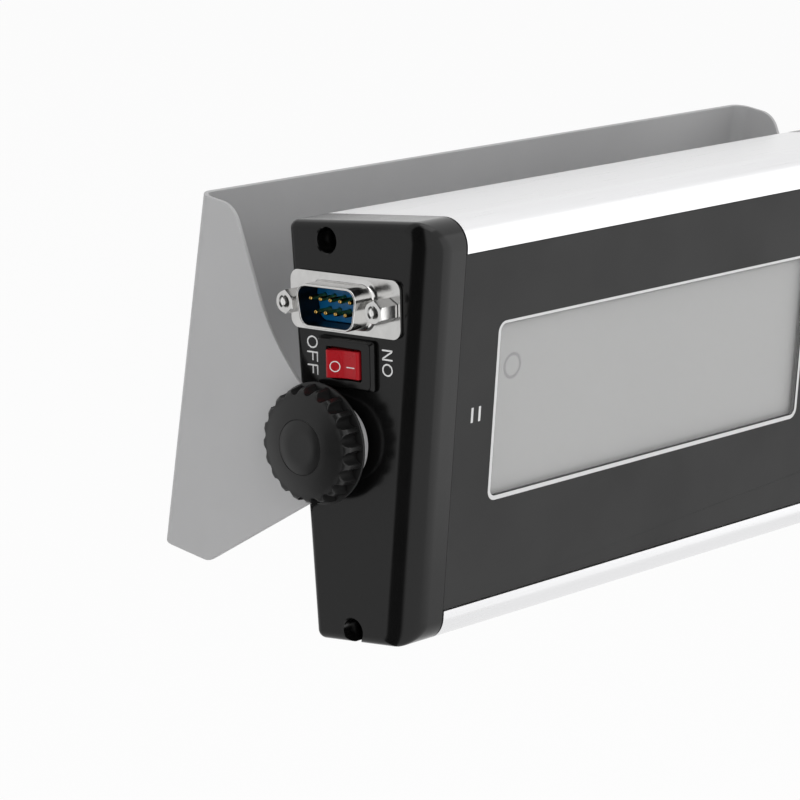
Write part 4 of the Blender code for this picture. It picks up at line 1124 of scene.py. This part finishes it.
PIVOT = (moved(LEFT_PANEL, SWITCH_FRONT + ROCKER_PIVOT, 0, -SWITCH_BELOW)
         @ Matrix.Rotation(ROCKER_THROW, 4, "Z"))
ROCKER_CROWN = Vector((ROCKER_REACH * math.cos(math.radians(24)) - 0.5,
                       -ROCKER_REACH * math.sin(math.radians(24)) - 0.25))


def rocker_face(y):
    """Depth of the rocker's open V, a little hollow on each half, at y from its middle."""
    share = 1 - abs(y) / ROCKER_CROWN.x
    saddle = -ROCKER_REACH * 0.3
    return ROCKER_CROWN.y + (saddle - ROCKER_CROWN.y) * share + 0.12 * math.sin(math.pi * share)


def rocker_outline():
    """The rocker seen from above: (y, x) with x growing into the switch."""
    end = [(ROCKER_REACH * math.cos(a), -ROCKER_REACH * math.sin(a))
           for a in (math.radians(-34 + 58 * k / 12) for k in range(13))]
    half = [(ROCKER_CROWN.x * (1 - k / 8), rocker_face(ROCKER_CROWN.x * (1 - k / 8))) for k in range(9)]
    right = end + half
    left = [(-y, x) for y, x in reversed(right[:-1])]
    return [Vector(point) for point in right + left]


def make_rocker():
    mesh = prism(bmesh.new(), rocker_outline(), [], -ROCKER_HEIGHT / 2, ROCKER_HEIGHT / 2,
                 lambda h, y, x: Vector((x, y, h)))
    rocker = piece(mesh, "rocker_cap", PIVOT, "rocker_red", "rocker", ["switch_rocker"])
    soften(rocker, 0.22, 3, 40.0)
    return rocker


print("bezel faces:", len(make_switch_housing().data.polygons))
print("rocker faces:", len(make_rocker().data.polygons))

# %% [markdown]
# ## The front panel
#
# The front is a textured film over a stiff sheet, set in the case's pocket. It has a window for the
# display and an opening for each key. A clear pane fills the window, flush with the film.

# %% Panel, pane and keys
PANEL_FRONT = 0.3
PANEL_BACK = POCKET - SEAT
KEY = (24.0, 11.0)
KEY_CORNER = 2.5
KEY_PROUD = 0.4
KEY_SHEET = 1.3
KEY_STEM = 2.0
KEY_STEM_END = 3.3
KEY_EDGE = (0.7, 0.35)
KEY_DISH = ((0.8, 0.03), (0.5, 0.1), (0.2, 0.13))


def make_panel():
    tall = PANEL_TOP_Z - PANEL_BOTTOM_Z - 2 * SEAT
    sheet = rectangle(2 * TUBE_END, tall, 0.3, 0, (PANEL_TOP_Z + PANEL_BOTTOM_Z) / 2, 2)
    holes = [rectangle(WINDOW_WIDTH, WINDOW_HEIGHT, WINDOW_CORNER, WINDOW_X, WINDOW_Z)]
    for name in KEYS:
        holes.append(rectangle(KEY[0] + 2 * SLIP, KEY[1] + 2 * SLIP, KEY_CORNER + SLIP, *key_place(name)))
    mesh = prism(bmesh.new(), sheet, holes, PANEL_BACK, PANEL_FRONT, into)
    panel = piece(mesh, "front_film", FACE, "panel_graphite", "display", ["front_overlay"])
    soften(panel, 0.08)
    pane = rectangle(WINDOW_WIDTH - 2 * SEAT, WINDOW_HEIGHT - 2 * SEAT, WINDOW_CORNER - SEAT,
                     WINDOW_X, WINDOW_Z)
    clear = piece(prism(bmesh.new(), pane, [], PANEL_BACK, PANEL_FRONT, into), "clear_window", FACE,
                  "clear_pane", "display", ["display_window"])
    soften(clear, 0.06)


def make_key(name):
    """A key with a rounded edge and a shallow dish, and its stem behind it."""
    x, z = key_place(name)
    front, back = -KEY_PROUD, KEY_SHEET - KEY_PROUD
    pad = rectangle(*KEY, KEY_CORNER, x, z)
    stem = []
    for point in rectangle(*KEY, KEY_CORNER):
        ray = point.normalized() * KEY_STEM
        stem.append(Vector((x + ray.x, z + ray.y)))
    rings = [(KEY_STEM_END, stem), (back, stem), (back, pad)]
    for k in range(5):
        turn = math.pi / 2 * k / 4
        less = KEY_EDGE[0] * (1 - math.cos(turn))
        outline = rectangle(KEY[0] - less, KEY[1] - less, KEY_CORNER - less / 2, x, z)
        rings.append((front + KEY_EDGE[1] * (1 - math.sin(turn)), outline))
    for share, dish in KEY_DISH:
        outline = rectangle(KEY[0] * share, KEY[1] * share, KEY_CORNER * share, x, z)
        rings.append((front + dish, outline))
    solid = [[into(y, *point) for point in outline] for y, outline in rings]
    return piece(loft(bmesh.new(), solid), name + "_cap", FACE, "key_grey", name, [name], 40.0)


make_panel()
for name in KEYS:
    make_key(name)
print("front pieces:", 2 + len(KEYS))

# %% [markdown]
# ## Sockets on the right cap
#
# The load cell plugs into a round threaded socket, and a small barrel inlet takes the power. Both are
# held by a hexagonal nut outside. They are turned parts; the threaded sleeves get real grooves.

# %% Sockets and nuts
SOCKET_RISE = 3.6
SOCKET_MOUTH = 4.5
INLET_RISE = 1.8
INLET_MOUTH = 3.1
SOCKET_CONTACT = 0.7
SOCKET_CONTACT_RING = 2.6
SLEEVE_THREAD = 0.75


def make_nut(name, flats, hole, low, high, y):
    outline, corner = hexagon(flats, y)
    nut = piece(prism(bmesh.new(), outline, [circle(hole, y, 0)], low, high, across), name + "_hex",
                RIGHT_PANEL, "tinned_steel", "display", [name])
    cone = turned(bmesh.new(), [(low - 1, corner + 0.2), (high - 0.5, corner + 0.2),
                                (high + 0.01, flats / 2 - 0.1)], y)
    carve(nut, cone, RIGHT_PANEL, "INTERSECT")
    soften(nut, 0.07)
    return nut


def grooves(start, end, radius, pitch, depth):
    """Profile points of a thread, from start to end."""
    count = max(int((end - start) / pitch), 1)
    points = []
    for k in range(count):
        x = start + (end - start) * k / count
        points += [(x, radius), (x + pitch * 0.45, radius - depth)]
    return points


def make_sockets():
    body = SOCKET - SEAT
    profile = [(-9.0, SOCKET_MOUTH), (-9.0, body)]
    profile += grooves(-8.5, SOCKET_RISE - 0.4, body, SLEEVE_THREAD, 0.3)
    profile += [(SOCKET_RISE - 0.25, body - 0.1), (SOCKET_RISE, body - 0.3),
                (SOCKET_RISE, SOCKET_MOUTH + 0.15), (SOCKET_RISE - 0.2, SOCKET_MOUTH)]
    piece(turned(bmesh.new(), profile, SOCKET_Y, closed=True), "load_socket_sleeve", RIGHT_PANEL,
          "tinned_steel", "display", ["load_cell_socket"])
    contacts = [circle(SOCKET_CONTACT, *point, 16)
                for point in circle(SOCKET_CONTACT_RING, SOCKET_Y, 0, 5)]
    mesh = prism(bmesh.new(), circle(SOCKET_MOUTH - SEAT, SOCKET_Y), contacts, -8.0,
                 SOCKET_RISE - 3, across)
    soften(piece(mesh, "load_socket_insert", RIGHT_PANEL, "moulded_black", "display",
                 ["load_cell_socket_insert"]), 0.12)
    make_nut("load_cell_socket_nut", 13.5, SOCKET, SEAT, SEAT + 2.0, SOCKET_Y)

    body, mouth = INLET - SEAT, SEAT + INLET_RISE
    floor = mouth - 9.0
    profile = [(floor - 3, body)] + grooves(floor - 2.5, mouth - 0.4, body, SLEEVE_THREAD, 0.25)
    profile += [(mouth, body - 0.3), (mouth, INLET_MOUTH + 0.2), (mouth - 0.25, INLET_MOUTH),
                (floor, INLET_MOUTH), (floor, 1.0), (mouth - 2.2, 1.0), (mouth - 2.0, 0.75)]
    piece(turned(bmesh.new(), profile, INLET_Y), "power_inlet_barrel", RIGHT_PANEL, "moulded_black",
          "display", ["power_inlet"])
    make_nut("power_inlet_nut", 9.0, INLET, SEAT, SEAT + 1.3, INLET_Y)


make_sockets()
print("pieces so far:", len(made_pieces))

# %% [markdown]
# ## Printing
#
# The printing is a real thin layer: 0.03 mm of ink above its surface. A white line frames the
# window, two plain bars mark the lamp beside it, and the switch has ON and OFF on the cap and a ring
# and a stroke on the rocker. Everything that the photograph shows as a name stays bare.

# %% Ink
INK = 0.03
LINE = {"top": 0.6, "side": 0.8, "bottom": 0.95}
LINE_GAP = 0.08
LAMP_BAR = (0.7, 3.3)
LAMP_BARS_FROM_END = (16.6, 19.0)
LAMP_BARS_BELOW = 43.4
RING_FROM_WINDOW = 6.55
RING_BELOW = 35.1
RING_OUTER = 2.95
RING_INNER = 2.2


def printed(mesh, name, place, finish="white_ink", body="display"):
    """A layer of ink that rides on a body and stands for no CAD node."""
    made = in_metres(mesh, name, place)
    made.data.materials.append(finishes[finish])
    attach(made, body)
    made_pieces.append(name)
    return made


def print_front():
    gap = LINE_GAP
    tall = WINDOW_HEIGHT + 2 * gap + LINE["top"] + LINE["bottom"]
    outer = rectangle(WINDOW_WIDTH + 2 * (LINE["side"] + gap), tall, WINDOW_CORNER + LINE["side"],
                      WINDOW_X, WINDOW_Z + (LINE["top"] - LINE["bottom"]) / 2)
    inner = rectangle(WINDOW_WIDTH + 2 * gap, WINDOW_HEIGHT + 2 * gap, WINDOW_CORNER, WINDOW_X, WINDOW_Z)
    low, high = PANEL_FRONT - 0.005, PANEL_FRONT - INK
    printed(prism(bmesh.new(), outer, [inner], low, high, into), "window_line", FACE)
    bars = bmesh.new()
    for x in LAMP_BARS_FROM_END:
        bar = rectangle(*LAMP_BAR, 0.1, -HALF + x, -LAMP_BARS_BELOW, 2)
        prism(bars, bar, [], low, high, into)
    printed(bars, "lamp_mark", FACE)
    glass = measured("lcd_glass", FACE)[0].y
    outer, inner = (circle(radius, WINDOW_LEFT + RING_FROM_WINDOW, -RING_BELOW)
                    for radius in (RING_OUTER, RING_INNER))
    ring = prism(bmesh.new(), outer, [inner], glass - 0.005, glass - INK, into)
    printed(ring, "display_ring", FACE, "faint_segment")


print_front()
print("printed:", made_pieces[-3:])

# %% Words and signs of the switch
LETTER_INK = 0.34
LETTER_GAP = 0.65
LETTER_WIDTHS = {"O": 2.7, "F": 2.15, "N": 2.3}


def stroke(mesh, points, width, low, high, place):
    """A flat line of ink through points, with square ends."""
    left, right = [], []
    count = len(points)
    for i in range(count):
        before = (points[i] - points[max(i - 1, 0)]).normalized()
        after = (points[min(i + 1, count - 1)] - points[i]).normalized()
        along = (before + after).normalized()
        lean = max(along.dot(after if i == 0 else before), 0.5)
        across_line = Vector((-along.y, along.x)) * width / 2 / lean
        left.append(points[i] + across_line)
        right.append(points[i] - across_line)
    prism(mesh, left + right[::-1], [], low, high, place)


def oval(mesh, centre, width, height, line, low, high, place):
    outer = [Vector((centre.x + width / 2 * p.x, centre.y + height / 2 * p.y)) for p in circle(1.0)]
    inner = [Vector((centre.x + (width / 2 - line) * p.x, centre.y + (height / 2 - line) * p.y))
             for p in circle(1.0)]
    prism(mesh, outer, [inner], low, high, place)


def word(letters, foot, start, way, tall, name):
    """Capitals on the left cap with their tops towards the switch. way is 1 where they read upwards."""
    low, high = -0.005, -INK
    edge = LETTER_INK / 2
    mesh = bmesh.new()
    for letter in letters:
        wide = LETTER_WIDTHS[letter]
        if letter == "O":
            centre = Vector((foot + way * tall / 2, start + way * wide / 2))
            oval(mesh, centre, tall, wide, LETTER_INK, low, high, across)
        if letter == "F":
            lines = [((edge, 0), (edge, tall)), ((2 * edge, tall - edge), (wide, tall - edge)),
                     ((2 * edge, tall * 0.52), (wide * 0.9, tall * 0.52))]
        if letter == "N":
            lines = [((edge, 0), (edge, tall)), ((wide - edge, 0), (wide - edge, tall)),
                     ((2 * edge, tall - edge), (wide - 2 * edge, edge))]
        if letter != "O":
            for line in lines:
                ends = [Vector((foot + way * up, start + way * along)) for along, up in line]
                stroke(mesh, ends, LETTER_INK, low, high, across)
        start += way * (wide + LETTER_GAP)
    return printed(mesh, name, LEFT_PANEL)


word("OFF", 11.75, -7.8, -1, 3.05, "word_off")
word("ON", -12.35, -14.35, 1, 2.9, "word_on")

# %% Signs on the rocker
SIGN_LINE = 0.2
RING = 2.35
BAR = 2.2
SIGN_PLACE = 1.9
SIGN_DROP = 0.5


def on_rocker(x, u, v):
    return Vector((rocker_face(u) + x, u, v))


def print_rocker():
    """A ring and a stroke, each laid on its own half of the rocker's open V."""
    mesh = bmesh.new()
    low, high = 0.02, -INK
    oval(mesh, Vector((SIGN_PLACE, -SIGN_DROP)), RING, RING, SIGN_LINE, low, high, on_rocker)
    ends = [Vector((side * BAR / 2 - SIGN_PLACE, -SIGN_DROP)) for side in (-1, 1)]
    stroke(mesh, ends, SIGN_LINE, low, high, on_rocker)
    return printed(mesh, "rocker_signs", PIVOT, body="rocker")


print_rocker()
print("pieces:", len(made_pieces))

# %% [markdown]
# ## Studio
#
# The photograph is a cut-out on white. Four soft boxes light the object, from the left, the right,
# the front and above, and only two of them show in reflections. The floor and the world are white to
# the camera through their colour, not through more light. Glossy pieces see the same white around
# them, a little greyer at the left and with a dark gap on the camera's side. That gap draws the dark
# stripe down the cap's rounded front edge.

# %% Tones around the object
FLOOR_BELOW = 0.30
TONES = [(0.0, 0.7), (0.165, 0.7), (0.18, 0.9), (0.2, 0.02), (0.325, 0.02), (0.35, 1.0), (1.0, 1.0)]


def tones_around(tree, output):
    """The white surroundings with their dark gap, by direction around the object."""
    place = tree.nodes.new("ShaderNodeTexCoord")
    spin = tree.nodes.new("ShaderNodeMapping")
    spin.inputs["Rotation"].default_value = (0, 0, math.radians(90))
    around = tree.nodes.new("ShaderNodeTexGradient")
    around.gradient_type = "RADIAL"
    walls = tree.nodes.new("ShaderNodeValToRGB")
    stops = walls.color_ramp.elements
    for stop, (position, tone) in zip(stops, (TONES[0], TONES[-1])):
        stop.color = (tone, tone, tone, 1)
    for position, tone in TONES[1:-1]:
        stops.new(position).color = (tone, tone, tone, 1)
    seen = tree.nodes.new("ShaderNodeMix")
    seen.data_type = "RGBA"
    seen.inputs["B"].default_value = (1, 1, 1, 1)
    path = tree.nodes.new("ShaderNodeLightPath")
    tree.links.new(place.outputs[output], spin.inputs["Vector"])
    tree.links.new(spin.outputs["Vector"], around.inputs["Vector"])
    tree.links.new(around.outputs["Fac"], walls.inputs["Fac"])
    tree.links.new(path.outputs["Is Camera Ray"], seen.inputs["Factor"])
    tree.links.new(walls.outputs["Color"], seen.inputs[6])
    return seen.outputs[2]


print("tones:", len(TONES))

# %% Floor


def light_path_white(tree, inputs):
    """1 where a ray comes straight from the camera, from a mirror or through glass."""
    path = tree.nodes.new("ShaderNodeLightPath")
    total = path.outputs["Is Camera Ray"]
    for name in inputs:
        add = tree.nodes.new("ShaderNodeMath")
        add.operation = "MAXIMUM"
        tree.links.new(total, add.inputs[0])
        tree.links.new(path.outputs[name], add.inputs[1])
        total = add.outputs["Value"]
    return total


def make_floor():
    mesh = bmesh.new()
    bmesh.ops.create_grid(mesh, x_segments=8, y_segments=8, size=20.0)
    data = bpy.data.meshes.new("floor")
    mesh.to_mesh(data)
    mesh.free()
    floor = bpy.data.objects.new("floor", data)
    floor.location.z = cad_box[0][2] - FLOOR_BELOW
    bpy.context.scene.collection.objects.link(floor)
    made = bpy.data.materials.new("pale_floor")
    made.use_nodes = True
    tree = made.node_tree
    shader = tree.nodes["Principled BSDF"]
    shader.inputs["Base Color"].default_value = (0.95, 0.95, 0.95, 1)
    shader.inputs["Roughness"].default_value = 0.9
    glow = tree.nodes.new("ShaderNodeEmission")
    tree.links.new(tones_around(tree, "Object"), glow.inputs["Color"])
    mix = tree.nodes.new("ShaderNodeMixShader")
    share = tree.nodes.new("ShaderNodeMath")
    share.operation = "MULTIPLY"
    share.inputs[1].default_value = 0.94
    tree.links.new(light_path_white(tree, ["Is Glossy Ray", "Is Transmission Ray"]), share.inputs[0])
    tree.links.new(share.outputs["Value"], mix.inputs["Fac"])
    tree.links.new(shader.outputs["BSDF"], mix.inputs[1])
    tree.links.new(glow.outputs["Emission"], mix.inputs[2])
    tree.links.new(mix.outputs["Shader"], tree.nodes["Material Output"].inputs["Surface"])
    data.materials.append(made)
    floor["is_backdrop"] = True
    return floor


print("floor at", round(make_floor().location.z, 3), "m")

# %% Lights and world
AMBIENT = 0.45


def soft_box(name, place, aim, size, power):
    data = bpy.data.lights.new(name, "AREA")
    data.shape = "RECTANGLE"
    data.size, data.size_y = size
    data.energy = power
    lamp = bpy.data.objects.new(name, data)
    lamp.location = place
    lamp.rotation_euler = (Vector(aim) - Vector(place)).to_track_quat("-Z", "Y").to_euler()
    bpy.context.scene.collection.objects.link(lamp)
    return lamp


SOFT_BOXES = [
    ("left_box", (-1.35, 0.1, 0.5), (0, -0.05, 0), (0.9, 1.2), 8.0, False),
    ("right_box", (0.78, -0.9, 0.32), (0, -0.05, 0.25), (2.0, 1.3), 4.6, True),
    ("front_box", (-0.6, -1.2, 1.0), (0, -0.05, 0), (0.9, 0.9), 6.0, False),
    ("top_box", (0.1, -0.2, 1.4), (0, -0.05, 0), (1.4, 1.0), 5.0, True),
]
for name, place, aim, size, power, reflected in SOFT_BOXES:
    soft_box(name, place, aim, size, power).visible_glossy = reflected

world = bpy.data.worlds.new("studio")
bpy.context.scene.world = world
world.use_nodes = True
tree = world.node_tree
background = tree.nodes["Background"]
tree.links.new(tones_around(tree, "Generated"), background.inputs["Color"])
level = tree.nodes.new("ShaderNodeMapRange")
level.inputs["To Min"].default_value = AMBIENT
level.inputs["To Max"].default_value = 1.0
tree.links.new(light_path_white(tree, ["Is Glossy Ray", "Is Transmission Ray"]), level.inputs["Value"])
tree.links.new(level.outputs["Result"], background.inputs["Strength"])
bpy.context.scene.view_settings.view_transform = "Standard"
print("lights:", len(bpy.data.lights))

# %% [markdown]
# ## Sizes
#
# The visual model's box is set against the CAD model's box, and how far it reaches past it at each end of each
# axis is printed in millimetres.

# %% Sizes, then finish
visual_box = [list(corner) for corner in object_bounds()]
for axis in range(3):
    past = [round((visual_box[end][axis] - cad_box[end][axis]) / MM, 2) for end in (0, 1)]
    print("xyz"[axis], past, "mm")
